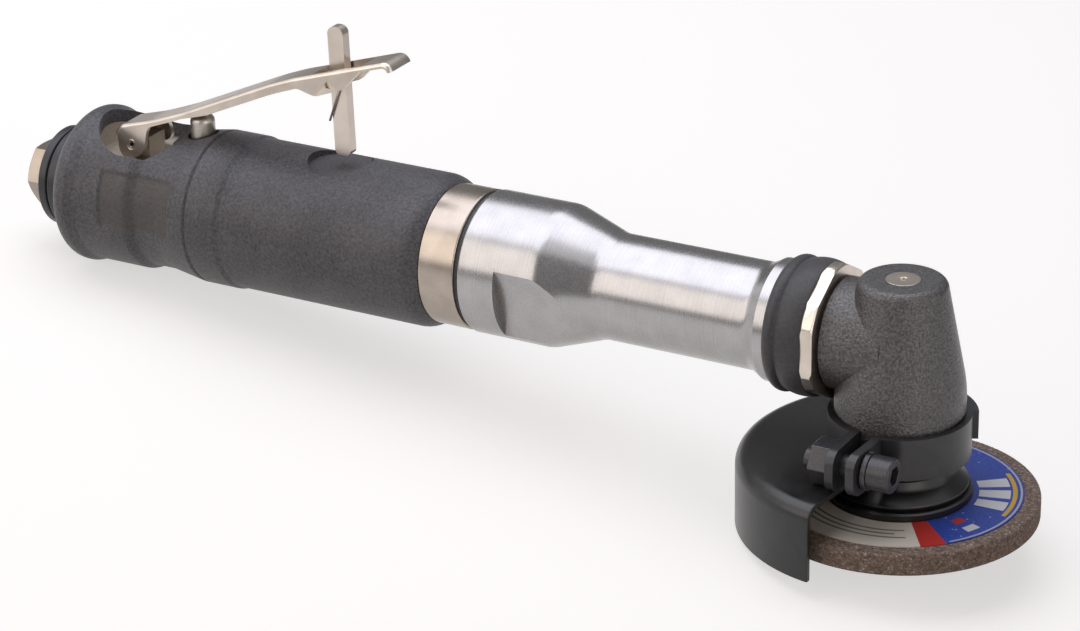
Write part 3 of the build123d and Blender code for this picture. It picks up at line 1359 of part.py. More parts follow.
# Wheel guard: a pressed half ring with a skirt over the rear of the wheel
with BuildPart() as wheel_guard:
    start = math.radians(GUARD_START)
    guard_bore_r = NOSE_R + 2 * GAP
    start_plane = Plane(
        origin=(x_spindle, 0, 0),
        x_dir=(math.cos(start), math.sin(start), 0),
        z_dir=(math.sin(start), -math.cos(start), 0),
    )
    with BuildSketch(start_plane):
        with BuildLine():
            FilletPolyline(
                (guard_bore_r, GUARD_TOP),
                (guard_r, GUARD_TOP),
                (guard_r, GUARD_FOOT),
                (guard_r - GUARD_SHEET, GUARD_FOOT),
                (guard_r - GUARD_SHEET, z_guard_under),
                (guard_bore_r, z_guard_under),
                radius=(0, GUARD_ROUND, 0, 0, GUARD_ROUND - GUARD_SHEET, 0),
                close=True,
            )
        make_face()
    revolve(axis=spindle_axis, revolution_arc=GUARD_SWEEP)
wheel_guard.part.label = "wheel_guard"
export_step(wheel_guard.part, "parts/wheel_guard.step")

# Clamp band: a split ring round the nose of the head, with two ears and an upright tab
with BuildPart() as clamp_band:
    band_inner = NOSE_R + GAP
    band_outer = band_inner + CLAMP_SHEET
    ear_root = -band_outer + CLAMP_SHEET
    lean_run = (EAR_REACH + ear_root) * math.tan(math.radians(RIGHT_EAR_LEAN))
    with BuildSketch(Plane((x_spindle, 0, GUARD_TOP))):
        Circle(band_outer)
        with BuildLine():
            Polyline(
                (LEFT_EAR_X, ear_root + CLAMP_SHEET),
                (RIGHT_EAR_X + lean_run / 2, ear_root + CLAMP_SHEET),
                (RIGHT_EAR_X - lean_run / 2, -EAR_REACH),
                (LEFT_EAR_X, -EAR_REACH),
                close=True,
            )
        make_face()
        with BuildLine():
            Polyline(
                (LEFT_EAR_X + EAR_SHEET, 0),
                (RIGHT_EAR_X + lean_run / 2 - EAR_SHEET, 0),
                (RIGHT_EAR_X + lean_run / 2 - EAR_SHEET, ear_root + CLAMP_SHEET),
                (RIGHT_EAR_X - lean_run / 2 - EAR_SHEET, -EAR_REACH - GAP),
                (LEFT_EAR_X + EAR_SHEET, -EAR_REACH - GAP),
                close=True,
            )
        make_face(mode=Mode.SUBTRACT)
        Circle(band_inner, mode=Mode.SUBTRACT)
    extrude(amount=CLAMP_TOP - GUARD_TOP)
    corners = clamp_band.edges().filter_by(lambda edge: abs(edge.center().Y + EAR_REACH) < GAP / 3)
    fillet(corners.filter_by(Axis.X), EAR_CORNER)
    with BuildSketch(Plane.YZ.offset(x_spindle + LEFT_EAR_X - EAR_SHEET)):
        with Locations((SCREW_Y, SCREW_Z)):
            Circle(SCREW_R + FIT)
    extrude(amount=RIGHT_EAR_X - LEFT_EAR_X + 2 * EAR_SHEET, mode=Mode.SUBTRACT)
    with BuildSketch(Plane.YZ.offset(x_spindle + RIGHT_EAR_X)):
        with Locations((SCREW_Y, SCREW_Z)):
            Circle(WASHER_R + GAP)
    extrude(amount=EAR_SHEET, mode=Mode.SUBTRACT)
    tab_start = math.radians(TAB_START)
    tab_plane = Plane(
        origin=(x_spindle, 0, 0),
        x_dir=(math.cos(tab_start), math.sin(tab_start), 0),
        z_dir=(math.sin(tab_start), -math.cos(tab_start), 0),
    )
    with BuildSketch(tab_plane):
        with Locations((band_outer - GAP, TAB_FOOT)):
            Rectangle(TAB_SHEET + GAP, TAB_TOP - TAB_FOOT, align=(Align.MIN, Align.MIN))
    revolve(axis=spindle_axis, revolution_arc=TAB_SWEEP)
clamp_band.part.label = "clamp_band"
export_step(clamp_band.part, "parts/clamp_band.step")

# Clamp screw, its split washer and its nut
x_washer = x_spindle + RIGHT_EAR_X
x_screw_head = x_washer + WASHER_THICKNESS
x_clamp_hex = x_spindle + LEFT_EAR_X - CLAMP_HEX_LENGTH

with BuildPart() as clamp_screw:
    with BuildSketch(Plane.YZ.offset(x_screw_head)):
        with Locations((SCREW_Y, SCREW_Z)):
            Circle(SCREW_HEAD_R)
    extrude(amount=SCREW_HEAD_LENGTH)
    rim = clamp_screw.edges().filter_by(GeomType.CIRCLE).sort_by(Axis.X)[-1]
    fillet(rim, CAP_EDGE)
    with BuildSketch(Plane.YZ.offset(x_screw_head + SCREW_HEAD_LENGTH)):
        with Locations((SCREW_Y, SCREW_Z)):
            RegularPolygon(SCREW_SOCKET / 2, 6, major_radius=False)
    extrude(amount=-SCREW_SOCKET_DEPTH, mode=Mode.SUBTRACT)
    with BuildSketch(Plane.YZ.offset(x_screw_head)):
        with Locations((SCREW_Y, SCREW_Z)):
            Circle(SCREW_R)
    extrude(amount=x_clamp_hex - SCREW_TAIL - x_screw_head)
clamp_screw.part.label = "clamp_screw"
export_step(clamp_screw.part, "parts/clamp_screw.step")

with BuildPart() as clamp_washer:
    with BuildSketch(Plane.YZ.offset(x_washer)):
        with Locations((SCREW_Y, SCREW_Z)):
            Circle(WASHER_R)
            Circle(SCREW_R + FIT, mode=Mode.SUBTRACT)
            Rectangle(WASHER_SLIT, 2 * WASHER_R, align=(Align.CENTER, Align.MIN), mode=Mode.SUBTRACT)
    extrude(amount=WASHER_THICKNESS)
clamp_washer.part.label = "clamp_washer"
export_step(clamp_washer.part, "parts/clamp_washer.step")

with BuildPart() as clamp_hex_nut:
    with BuildSketch(Plane.YZ.offset(x_clamp_hex)):
        with Locations((SCREW_Y, SCREW_Z)):
            RegularPolygon(CLAMP_HEX_FLATS / 2, 6, major_radius=False)
            Circle(SCREW_R + FIT, mode=Mode.SUBTRACT)
    extrude(amount=CLAMP_HEX_LENGTH)
clamp_hex_nut.part.label = "clamp_hex_nut"
export_step(clamp_hex_nut.part, "parts/clamp_hex_nut.step")
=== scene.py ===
import bmesh
import bpy
import json
import math
from mathutils import Matrix, Quaternion, Vector
from mathutils.bvhtree import BVHTree


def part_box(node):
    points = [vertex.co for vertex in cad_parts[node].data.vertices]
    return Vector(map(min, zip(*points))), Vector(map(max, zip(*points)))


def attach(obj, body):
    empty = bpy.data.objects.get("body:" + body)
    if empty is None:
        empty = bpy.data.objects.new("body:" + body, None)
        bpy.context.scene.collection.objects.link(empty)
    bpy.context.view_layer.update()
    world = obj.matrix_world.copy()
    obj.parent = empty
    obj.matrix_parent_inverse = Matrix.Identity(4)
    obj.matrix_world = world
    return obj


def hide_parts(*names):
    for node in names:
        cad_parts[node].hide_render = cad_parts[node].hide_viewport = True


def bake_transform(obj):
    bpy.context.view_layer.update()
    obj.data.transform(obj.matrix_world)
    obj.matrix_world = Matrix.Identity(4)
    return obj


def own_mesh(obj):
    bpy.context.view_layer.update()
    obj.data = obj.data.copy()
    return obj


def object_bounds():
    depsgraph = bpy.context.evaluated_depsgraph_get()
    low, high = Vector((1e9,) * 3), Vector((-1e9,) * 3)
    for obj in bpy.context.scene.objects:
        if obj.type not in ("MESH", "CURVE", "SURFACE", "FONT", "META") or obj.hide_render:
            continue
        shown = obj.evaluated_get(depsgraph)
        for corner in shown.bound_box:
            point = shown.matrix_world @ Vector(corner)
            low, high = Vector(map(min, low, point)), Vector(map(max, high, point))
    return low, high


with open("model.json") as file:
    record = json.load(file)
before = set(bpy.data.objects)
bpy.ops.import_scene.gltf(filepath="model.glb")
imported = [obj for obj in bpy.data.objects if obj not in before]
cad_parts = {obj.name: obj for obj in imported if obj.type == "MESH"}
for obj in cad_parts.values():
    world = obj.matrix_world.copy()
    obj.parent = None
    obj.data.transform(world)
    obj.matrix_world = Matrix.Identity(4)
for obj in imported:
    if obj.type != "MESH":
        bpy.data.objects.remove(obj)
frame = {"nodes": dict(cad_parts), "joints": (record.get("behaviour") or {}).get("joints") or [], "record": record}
cad_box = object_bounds()
nodes = frame["nodes"]
joints = {joint["name"]: joint for joint in frame["joints"]}
slots = {row["node"]: row["material_slot"] for row in frame["record"]["subparts"]}
carried = frame["record"]["behaviour"]["bodies"]
bodies = {node: body for body, members in carried.items() for node in members}

# Metres in a millimetre
MM = 0.001

# Camera: where the photograph was taken from and what it aims at in metres, how far it leans in degrees, and
# its lens and sensor in millimetres
CAMERA_PLACE = Vector((0.62025, -0.78085, 0.38457))
CAMERA_AIM = Vector((0.1696, 0.0, -0.0138))
CAMERA_ROLL = -1.23
CAMERA_LENS = 117.75
CAMERA_SENSOR = 36

# Axes and middle of the tool, from the frame
SPINDLE = Vector(joints["spindle_spin"]["pos_m"]).to_2d().to_3d()
LEVER_PIVOT = Vector(joints["throttle_press"]["pos_m"])
LOCK_PIVOT = Vector(joints["lock_swing"]["pos_m"])
VALVE = Vector(joints["valve_press"]["pos_m"]).to_2d().to_3d()
MIDDLE = (cad_box[0] + cad_box[1]) / 2
ALONG = Vector((1, 0, 0))
ACROSS = Vector((0, 1, 0))
UP = Vector((0, 0, 1))

# Joining the triangles of a CAD mesh: the gap that closes in millimetres, the bend that is flat in degrees
WELD_GAP = 0.001
FLAT_BEND = 0.2

# Bends from which an edge shades as a crease and from which a bevel softens it, and the most that an edge can
# bend, in degrees, and segments of the bevel
CREASE_BEND = 16
BEVEL_BEND = 35
MOST_BEND = 180
BEVEL_SEGMENTS = 2

# Pieces whose edges show, with the width that each edge is softened by, in millimetres
SOFT_EDGES = {
    "inlet_bushing": 0.25,
    "exhaust_cap": 0.2,
    "throttle_lever": 0.2,
    "lock_lever": 0.3,
    "lever_pin": 0.1,
    "lock_pin": 0.1,
    "valve_stem": 0.15,
    "collar_ring": 0.15,
    "rubber_band": 0.2,
    "lock_nut": 0.3,
    "grease_plug": 0.15,
    "clamp_band": 0.25,
    "clamp_screw": 0.2,
    "clamp_washer": 0.2,
    "clamp_hex_nut": 0.3,
    "clamp_nut": 0.2,
    "wheel_guard": 0.3,
    "wheel_flange": 0.15,
    "grinding_wheel": 0.2,
    "motor_housing": 0.2,
}

# Throttle lever: slope of its plate and outward lean of its cheeks in degrees, height of the fold over the
# pin and reach of the cheeks in front of it in millimetres, and how many times as long its pin shows
LEVER_TILT = 20.8
CHEEK_SPLAY = 20.0
CHEEK_FOLD = 4.2
CHEEK_END = 9.0
PIN_STRETCH = 1.27

# Springs, in millimetres and degrees
WIRE_SIDES = 12
WIRE_STEP = 10
LOCK_WIRE_R = 0.34
LOCK_COIL_R = 1.5
LOCK_COIL_START = -3.51
LOCK_COIL_END = -0.49
LOCK_PLATE_ANGLE = -106.8
LOCK_BAR_ANGLE = 20.0
LOCK_COIL_TURNS = 2
LOCK_PLATE_LEG = 6.6
LOCK_BAR_LEG = 12.8
VALVE_WIRE_R = 0.4
VALVE_COIL_R = 3.2
VALVE_COIL_TURNS = 5
VALVE_FLOOR = -13.0
VALVE_POPPET_FOOT = 0.9

# Wrench flats of the extension: distance from the axis and a margin under it, start, middle of the cutter's
# sweep past the start and over the axis, and width of the brown band along their shoulder in millimetres,
# turn in degrees, and strength of the brown band
FLAT_DISTANCE = 17.1
FLAT_MARGIN = 0.1
FLAT_START = 166.3
FLAT_TURN = 15.0
CUTTER_REACH = 15.0
CUTTER_HEIGHT = -3.0
SHOULDER_BROWN_WIDTH = 3.5
SHOULDER_BROWN_STRENGTH = 0.85

# Side panels of the grip: ends along the tool, half height, depth, width of the soft edge and margin of the
# field round it in millimetres, turn and half spread of the field in degrees, and strength of the wear
PANEL_START = 34.3
PANEL_END = 59.6
PANEL_HALF = 8.8
PANEL_DEPTH = 0.6
PANEL_EDGE = 1.5
PANEL_MARGIN = 0.6
PANEL_TURN = 13.0
PANEL_SPREAD = 27.0
PANEL_WEAR = 0.55

# Carving the panels: radius that the whole outer skin lies beyond, start of the ray that finds the skin, and
# gaps and slivers that close, in millimetres, and steps of the field each way
PANEL_SKIN = 19.5
PANEL_RAY = 50.0
PANEL_WELD = 0.01
PANEL_SLIVER = 0.005
PANEL_STEPS = 30

# The print on the wheel: spacing of its specks in millimetres, their radius as a share of that, and blocks
# with inner and outer radius in millimetres, middle and half spread in degrees, and colour
SPECK_SPACING = 2.6
SPECK_SHARE = 0.11
LABEL_BLOCKS = (
    (20.0, 33.6, -100, 44, "#efe8dd"),
    (24.2, 24.9, -98, 36, "#8f8c88"),
    (26.2, 26.9, -98, 30, "#8f8c88"),
    (28.2, 28.9, -98, 36, "#8f8c88"),
    (20.0, 33.6, -50, 6, "#c8352f"),
    (27.6, 30.4, -25, 4, "#d8d8dc"),
    (22.6, 25.4, -25, 4, "#b93a38"),
    (21.6, 30.0, 6, 5, "#e4e4e8"),
    (21.6, 30.0, 20, 5, "#e4e4e8"),
    (21.6, 30.0, 34, 5, "#e4e4e8"),
    (30.6, 31.8, 20, 24, "#dcb23c"),
    (32.6, 33.2, 70, 112, "#b9bccb"),
)

# Floor: where the rear flange of the grip stands on it in millimetres, its size and the distances between
# which its glow rises in metres, and the strength of the glow at each
REAR_FLANGE = 23.3
FLOOR_SIZE = 24
GLOW_NEAR = 0.5
GLOW_FAR = 2.5
GLOW_LEAST = 0.6
GLOW_MOST = 0.97

# Strengths of the grey cards, and of the white room as it shows and as it sheds light
CARD_STRENGTH = 0.24
ROOM_SHOWN = 0.9
ROOM_SHED = 0.1


def linear(code):
    """An sRGB hex colour as linear RGBA."""
    channels = [int(code[start:start + 2], 16) / 255 for start in (1, 3, 5)]
    return [c / 12.92 if c <= 0.04045 else ((c + 0.055) / 1.055) ** 2.4 for c in channels] + [1]


def put(tree, kind, sockets=None, stops=(), **settings):
    """Add a node with its settings. A socket given for an input is linked to it, a value is set on it, and
    stops are the (position, hex colour) points of a ramp. Returns the node's outputs."""
    node = tree.nodes.new(kind)
    for name, value in settings.items():
        setattr(node, name, value)
    for name, value in (sockets or {}).items():
        if isinstance(value, bpy.types.NodeSocket):
            tree.links.new(value, node.inputs[name])
        else:
            node.inputs[name].default_value = value
    for index, (position, code) in enumerate(stops):
        points = node.color_ramp.elements
        point = points[index] if index < len(points) else points.new(1)
        point.position = position
        point.color = linear(code)
    return node.outputs


def grains(size):
    """The scale of a texture whose grains are that many millimetres wide."""
    return 1 / (size * MM)


def new_material(name):
    """An empty material. Returns it with its tree and the object coordinates."""
    material = bpy.data.materials.new(name)
    material.use_nodes = True
    tree = material.node_tree
    tree.nodes.clear()
    return material, tree, put(tree, "ShaderNodeTexCoord")["Object"]


def moulded_rubber(name, dark, light, grain, depth, roughness, wave, worn=None):
    """Moulded elastomer from a spark-textured mould: a close stipple with painted highlights, paler on its
    tops, which also catch a soft sheen, over a skin that waves a little, with side panels rubbed to a worn
    colour where one is given. The stipple of the real one is near a pixel wide, so it is drawn as coarse as
    it needs to show."""
    material, tree, place = new_material(name)
    stipple = put(
        tree,
        "ShaderNodeTexNoise",
        {"Vector": place, "Scale": grains(grain), "Detail": 2, "Roughness": 0.6},
    )["Fac"]
    blotch = put(tree, "ShaderNodeTexNoise", {"Vector": place, "Scale": grains(14), "Detail": 2})["Fac"]
    mixed = put(tree, "ShaderNodeMix", {"Factor": 0.3, "A": stipple, "B": blotch})["Result"]
    # The paler end of the ramp falls on the stipple's tops: painted highlights
    colour = put(tree, "ShaderNodeValToRGB", {"Fac": mixed}, stops=((0.36, dark), (0.66, light)))["Color"]
    if worn:
        turn = math.radians(PANEL_TURN)
        axes = put(tree, "ShaderNodeSeparateXYZ", {"Vector": place})
        side = put(tree, "ShaderNodeMath", {0: axes["Y"]}, operation="ABSOLUTE")[0]
        folded = put(tree, "ShaderNodeCombineXYZ", {"Y": side, "Z": axes["Z"]})["Vector"]
        rise = (0, -math.sin(turn), math.cos(turn))
        height = put(tree, "ShaderNodeVectorMath", {0: folded, 1: rise}, operation="DOT_PRODUCT")["Value"]
        middle = (PANEL_START + PANEL_END) / 2 * MM
        along = put(tree, "ShaderNodeMath", {0: axes["X"], 1: middle}, operation="SUBTRACT")[0]
        rubbed = PANEL_WEAR
        for way, half in ((along, (PANEL_END - PANEL_START) / 2), (height, PANEL_HALF)):
            reach = put(tree, "ShaderNodeMath", {0: way}, operation="ABSOLUTE")[0]
            inside = put(
                tree,
                "ShaderNodeMapRange",
                {"Value": reach, "From Min": half * MM, "From Max": (half - PANEL_EDGE) * MM},
                interpolation_type="SMOOTHSTEP",
            )["Result"]
            rubbed = put(tree, "ShaderNodeMath", {0: inside, 1: rubbed}, operation="MULTIPLY")[0]
        colour = put(
            tree,
            "ShaderNodeMix",
            {"Factor": rubbed, 6: colour, 7: linear(worn)},
            data_type="RGBA",
        )[2]
    swell = put(tree, "ShaderNodeBump", {"Height": blotch, "Distance": wave * MM})["Normal"]
    relief = put(
        tree,
        "ShaderNodeBump",
        {"Height": stipple, "Distance": depth * MM, "Normal": swell},
    )["Normal"]
    shader = put(
        tree,
        "ShaderNodeBsdfPrincipled",
        {
            "Base Color": colour,
            "Roughness": roughness,
            "Normal": relief,
            "Sheen Weight": 0.12,
            "Sheen Roughness": 0.5,
        },
    )["BSDF"]
    put(tree, "ShaderNodeOutputMaterial", {"Surface": shader})
    return material


def plated_metal(name, dark, light, roughness):
    """Nickel plate on pressed or turned steel: a warm satin mirror with faint cloudy handling marks."""
    material, tree, place = new_material(name)
    cloud = put(tree, "ShaderNodeTexNoise", {"Vector": place, "Scale": grains(6), "Detail": 4})["Fac"]
    rub = put(tree, "ShaderNodeTexNoise", {"Vector": place, "Scale": grains(0.5), "Detail": 2})["Fac"]
    colour = put(tree, "ShaderNodeValToRGB", {"Fac": cloud}, stops=((0.3, dark), (0.7, light)))["Color"]
    satin = put(
        tree,
        "ShaderNodeMapRange",
        {"Value": cloud, "To Min": roughness - 0.03, "To Max": roughness + 0.03},
    )["Result"]
    relief = put(tree, "ShaderNodeBump", {"Height": rub, "Distance": 0.01 * MM})["Normal"]
    shader = put(
        tree,
        "ShaderNodeBsdfPrincipled",
        {"Base Color": colour, "Metallic": 1, "Roughness": satin, "Normal": relief},
    )["BSDF"]
    put(tree, "ShaderNodeOutputMaterial", {"Surface": shader})
    return material


def turned_metal(name, dark, light, shoulder_brown, roughness, groove, depth):
    """Bare steel turned on a lathe: fine lines round the tool axis, and milled wrench flats with round cutter
    marks and a brown tint along their shoulder, darkest at the shoulder and fading away from it. The lines of
    the real one are finer than a pixel, so they are drawn as coarse as they need to show."""
    material, tree, place = new_material(name)
    along = put(tree, "ShaderNodeSeparateXYZ", {"Vector": place})["X"]
    turn = math.radians(FLAT_TURN)
    out = (0, math.cos(turn), math.sin(turn))
    rise = (0, -math.sin(turn), math.cos(turn))
    level = put(tree, "ShaderNodeVectorMath", {0: place, 1: out}, operation="DOT_PRODUCT")["Value"]
    level = put(tree, "ShaderNodeMath", {0: level}, operation="ABSOLUTE")[0]
    height = put(tree, "ShaderNodeVectorMath", {0: place, 1: rise}, operation="DOT_PRODUCT")["Value"]
    least = (FLAT_DISTANCE - FLAT_MARGIN) * MM
    on_flat = put(tree, "ShaderNodeMath", {0: level, 1: least}, operation="GREATER_THAN")[0]
    past_rim = put(tree, "ShaderNodeMath", {0: along, 1: FLAT_START * MM}, operation="GREATER_THAN")[0]
    milled = put(tree, "ShaderNodeMath", {0: on_flat, 1: past_rim}, operation="MULTIPLY")[0]
    spot = put(tree, "ShaderNodeCombineXYZ", {"X": along, "Y": height})["Vector"]
    cutter = ((FLAT_START + CUTTER_REACH) * MM, CUTTER_HEIGHT * MM, 0)
    sweep = put(tree, "ShaderNodeVectorMath", {0: spot, 1: cutter}, operation="DISTANCE")["Value"]
    line = put(tree, "ShaderNodeMix", {"Factor": milled, "A": along, "B": sweep})["Result"]
    lines = put(
        tree,
        "ShaderNodeTexNoise",
        {"W": line, "Scale": grains(groove), "Detail": 3, "Roughness": 0.7},
        noise_dimensions="1D",
    )["Fac"]
    cloud = put(tree, "ShaderNodeTexNoise", {"Vector": place, "Scale": grains(7), "Detail": 6})["Fac"]
    fleck = put(tree, "ShaderNodeTexNoise", {"Vector": place, "Scale": grains(0.9), "Detail": 3})["Fac"]
    tone = put(tree, "ShaderNodeMix", {"Factor": 0.5, "A": lines, "B": cloud})["Result"]
    colour = put(tree, "ShaderNodeValToRGB", {"Fac": tone}, stops=((0.35, dark), (0.65, light)))["Color"]
    # A brown tint along the shoulder of each flat, darkest at the shoulder and fading away from it
    shoulder = put(
        tree,
        "ShaderNodeMapRange",
        {
            "Value": along,
            "From Min": FLAT_START * MM,
            "From Max": (FLAT_START + SHOULDER_BROWN_WIDTH) * MM,
            "To Min": SHOULDER_BROWN_STRENGTH,
            "To Max": 0,
        },
    )["Result"]
    browned = put(tree, "ShaderNodeMath", {0: shoulder, 1: milled}, operation="MULTIPLY")[0]
    browned = put(tree, "ShaderNodeMath", {0: browned, 1: cloud}, operation="MULTIPLY")[0]
    colour = put(
        tree,
        "ShaderNodeMix",
        {"Factor": browned, 6: colour, 7: linear(shoulder_brown)},
        data_type="RGBA",
    )[2]
    satin = put(
        tree,
        "ShaderNodeMapRange",
        {"Value": fleck, "To Min": roughness - 0.06, "To Max": roughness + 0.06},
    )["Result"]
    worn = put(tree, "ShaderNodeBump", {"Height": fleck, "Distance": 0.003 * MM})["Normal"]
    relief = put(tree, "ShaderNodeBump", {"Height": lines, "Distance": depth * MM, "Normal": worn})["Normal"]
    shader = put(
        tree,
        "ShaderNodeBsdfPrincipled",
        {"Base Color": colour, "Metallic": 1, "Roughness": satin, "Normal": relief},
    )["BSDF"]
    put(tree, "ShaderNodeOutputMaterial", {"Surface": shader})
    return material


def black_casting(name, dark, light, grain, depth, roughness):
    """Blackened sand-textured casting: a fine pebble whose tops are painted paler, as painted glints, and
    catch small glints from their relief.
    """
    material, tree, place = new_material(name)
    pebble = put(
        tree,
        "ShaderNodeTexNoise",
        {"Vector": place, "Scale": grains(grain), "Detail": 2, "Roughness": 0.6},
    )["Fac"]
    # The pebble's tops take the paler colour: painted glints over the real ones from the bump
    colour = put(tree, "ShaderNodeValToRGB", {"Fac": pebble}, stops=((0.35, dark), (0.7, light)))["Color"]
    relief = put(tree, "ShaderNodeBump", {"Height": pebble, "Distance": depth * MM})["Normal"]
    shader = put(
        tree,
        "ShaderNodeBsdfPrincipled",
        {"Base Color": colour, "Metallic": 0.4, "Roughness": roughness, "Normal": relief},
    )["BSDF"]
    put(tree, "ShaderNodeOutputMaterial", {"Surface": shader})
    return material


def stoved_paint(name, dark, light, roughness, depth):
    """Black stoving paint on pressed sheet: a satin gloss with a slight orange peel and fine dust."""
    material, tree, place = new_material(name)
    peel = put(tree, "ShaderNodeTexNoise", {"Vector": place, "Scale": grains(0.8), "Detail": 2})["Fac"]
    dust = put(
        tree,
        "ShaderNodeTexNoise",
        {"Vector": place, "Scale": grains(5), "Detail": 6, "Roughness": 0.7},
    )["Fac"]
    colour = put(tree, "ShaderNodeValToRGB", {"Fac": dust}, stops=((0.4, dark), (0.75, light)))["Color"]
    worn = put(
        tree,
        "ShaderNodeMapRange",
        {"Value": dust, "To Min": roughness - 0.05, "To Max": roughness + 0.08},
    )["Result"]
    relief = put(tree, "ShaderNodeBump", {"Height": peel, "Distance": depth * MM})["Normal"]
    shader = put(
        tree,
        "ShaderNodeBsdfPrincipled",
        {"Base Color": colour, "Roughness": worn, "Normal": relief},
    )["BSDF"]
    put(tree, "ShaderNodeOutputMaterial", {"Surface": shader})
    return material


def bonded_grit(name):
    """Abrasive grains in resin: dark brown-grey, dull, with paler grains, and open pores darkened by painted
    shade.
    """
    material, tree, place = new_material(name)
    grain = put(tree, "ShaderNodeTexVoronoi", {"Vector": place, "Scale": grains(0.42), "Randomness": 1})
    pick = put(tree, "ShaderNodeSeparateColor", {"Color": grain["Color"]})["Red"]
    pore = put(tree, "ShaderNodeTexNoise", {"Vector": place, "Scale": grains(1.2), "Detail": 3})["Fac"]
    tone = put(
        tree,
        "ShaderNodeValToRGB",
        {"Fac": pick},
        stops=((0.0, "#715f54"), (0.5, "#8b776b"), (0.9, "#9e8c80"), (1.0, "#c6b8ad")),
    )["Color"]
    # Painted shade in the open pores, multiplied over the grains' colour
    pore_shade = put(
        tree,
        "ShaderNodeValToRGB",
        {"Fac": pore},
        stops=((0.38, "#7d7672"), (0.55, "#ffffff")),
    )["Color"]
    colour = put(
        tree,
        "ShaderNodeMix",
        {"Factor": 0.5, 6: tone, 7: pore_shade},
        data_type="RGBA",
        blend_type="MULTIPLY",
    )[2]
    relief = put(tree, "ShaderNodeBump", {"Height": grain["Distance"], "Distance": 0.15 * MM})["Normal"]
    shader = put(
        tree,
        "ShaderNodeBsdfPrincipled",
        {"Base Color": colour, "Roughness": 0.85, "Normal": relief},
    )["BSDF"]
    put(tree, "ShaderNodeOutputMaterial", {"Surface": shader})
    return material


def plain_finish(name, dark, light, roughness, metallic=0, grain=0.6):
    """The finish of a small or inner piece: one material with faint machining or moulding marks."""
    material, tree, place = new_material(name)
    mark = put(tree, "ShaderNodeTexNoise", {"Vector": place, "Scale": grains(grain), "Detail": 3})["Fac"]
    colour = put(tree, "ShaderNodeValToRGB", {"Fac": mark}, stops=((0.3, dark), (0.7, light)))["Color"]
    relief = put(tree, "ShaderNodeBump", {"Height": mark, "Distance": 0.02 * MM})["Normal"]
    shader = put(
        tree,
        "ShaderNodeBsdfPrincipled",
        {"Base Color": colour, "Metallic": metallic, "Roughness": roughness, "Normal": relief},
    )["BSDF"]
    put(tree, "ShaderNodeOutputMaterial", {"Surface": shader})
    return material


def printed_label(name):
    """Printed paper glued to the wheel: a blue ring with plain bands and blocks of white, red and yellow, a
    few white specks, and the faint tooth of the glass cloth under it."""
    material, tree, place = new_material(name)
    centred = put(tree, "ShaderNodeVectorMath", {0: place, 1: SPINDLE}, operation="SUBTRACT")["Vector"]
    axes = put(tree, "ShaderNodeSeparateXYZ", {"Vector": centred})
    flat = put(tree, "ShaderNodeCombineXYZ", {"X": axes["X"], "Y": axes["Y"]})["Vector"]
    radius = put(tree, "ShaderNodeVectorMath", {0: flat}, operation="LENGTH")["Value"]
    angle = put(tree, "ShaderNodeMath", {0: axes["Y"], 1: axes["X"]}, operation="ARCTAN2")[0]
    tooth = put(tree, "ShaderNodeTexNoise", {"Vector": place, "Scale": grains(0.8), "Detail": 2})["Fac"]
    cells = put(
        tree,
        "ShaderNodeTexVoronoi",
        {"Vector": flat, "Scale": grains(SPECK_SPACING), "Randomness": 1},
    )["Distance"]
    speck = put(tree, "ShaderNodeMath", {0: cells, 1: SPECK_SHARE}, operation="LESS_THAN")[0]
    colour = put(
        tree,
        "ShaderNodeValToRGB",
        {"Fac": tooth},
        stops=((0.3, "#26409a"), (0.7, "#3553b4")),
    )["Color"]
    colour = put(
        tree,
        "ShaderNodeMix",
        {"Factor": speck, 6: colour, 7: linear("#aab4dc")},
        data_type="RGBA",
    )[2]
    for inner, outer, middle, spread, code in LABEL_BLOCKS:
        band = put(tree, "ShaderNodeMath", {0: radius, 1: (inner + outer) / 2 * MM}, operation="SUBTRACT")[0]
        band = put(tree, "ShaderNodeMath", {0: band}, operation="ABSOLUTE")[0]
        band = put(tree, "ShaderNodeMath", {0: band, 1: (outer - inner) / 2 * MM}, operation="LESS_THAN")[0]
        arc = put(tree, "ShaderNodeMath", {0: angle, 1: math.radians(middle)}, operation="SUBTRACT")[0]
        arc = put(tree, "ShaderNodeMath", {0: arc, 1: math.pi, 2: -math.pi}, operation="WRAP")[0]
        arc = put(tree, "ShaderNodeMath", {0: arc}, operation="ABSOLUTE")[0]
        arc = put(tree, "ShaderNodeMath", {0: arc, 1: math.radians(spread)}, operation="LESS_THAN")[0]
        inside = put(tree, "ShaderNodeMath", {0: band, 1: arc}, operation="MULTIPLY")[0]
        colour = put(
            tree,
            "ShaderNodeMix",
            {"Factor": inside, 6: colour, 7: linear(code)},
            data_type="RGBA",
        )[2]
    relief = put(tree, "ShaderNodeBump", {"Height": tooth, "Distance": 0.02 * MM})["Normal"]
    shader = put(
        tree,
        "ShaderNodeBsdfPrincipled",
        {"Base Color": colour, "Roughness": 0.45, "Normal": relief},
    )["BSDF"]
    put(tree, "ShaderNodeOutputMaterial", {"Surface": shader})
    return material


def seen_strength(tree, strength):
    """The strength for rays from the camera and those that gloss or glass sends on, and none for others."""
    rays = put(tree, "ShaderNodeLightPath")
    seen = rays["Is Camera Ray"]
    for sent_on in ("Is Glossy Ray", "Is Transmission Ray"):
        seen = put(tree, "ShaderNodeMath", {0: seen, 1: rays[sent_on]}, operation="MAXIMUM")[0]
    return put(tree, "ShaderNodeMath", {0: seen, 1: strength}, operation="MULTIPLY")[0]


def grey_card(name):
    """Grey card for reflections: one even, dim patch in bright metal."""
    material, tree, _ = new_material(name)
    light = {"Color": linear("#ffffff"), "Strength": CARD_STRENGTH}
    face = put(tree, "ShaderNodeEmission", light)["Emission"]
    put(tree, "ShaderNodeOutputMaterial", {"Surface": face})
    return material


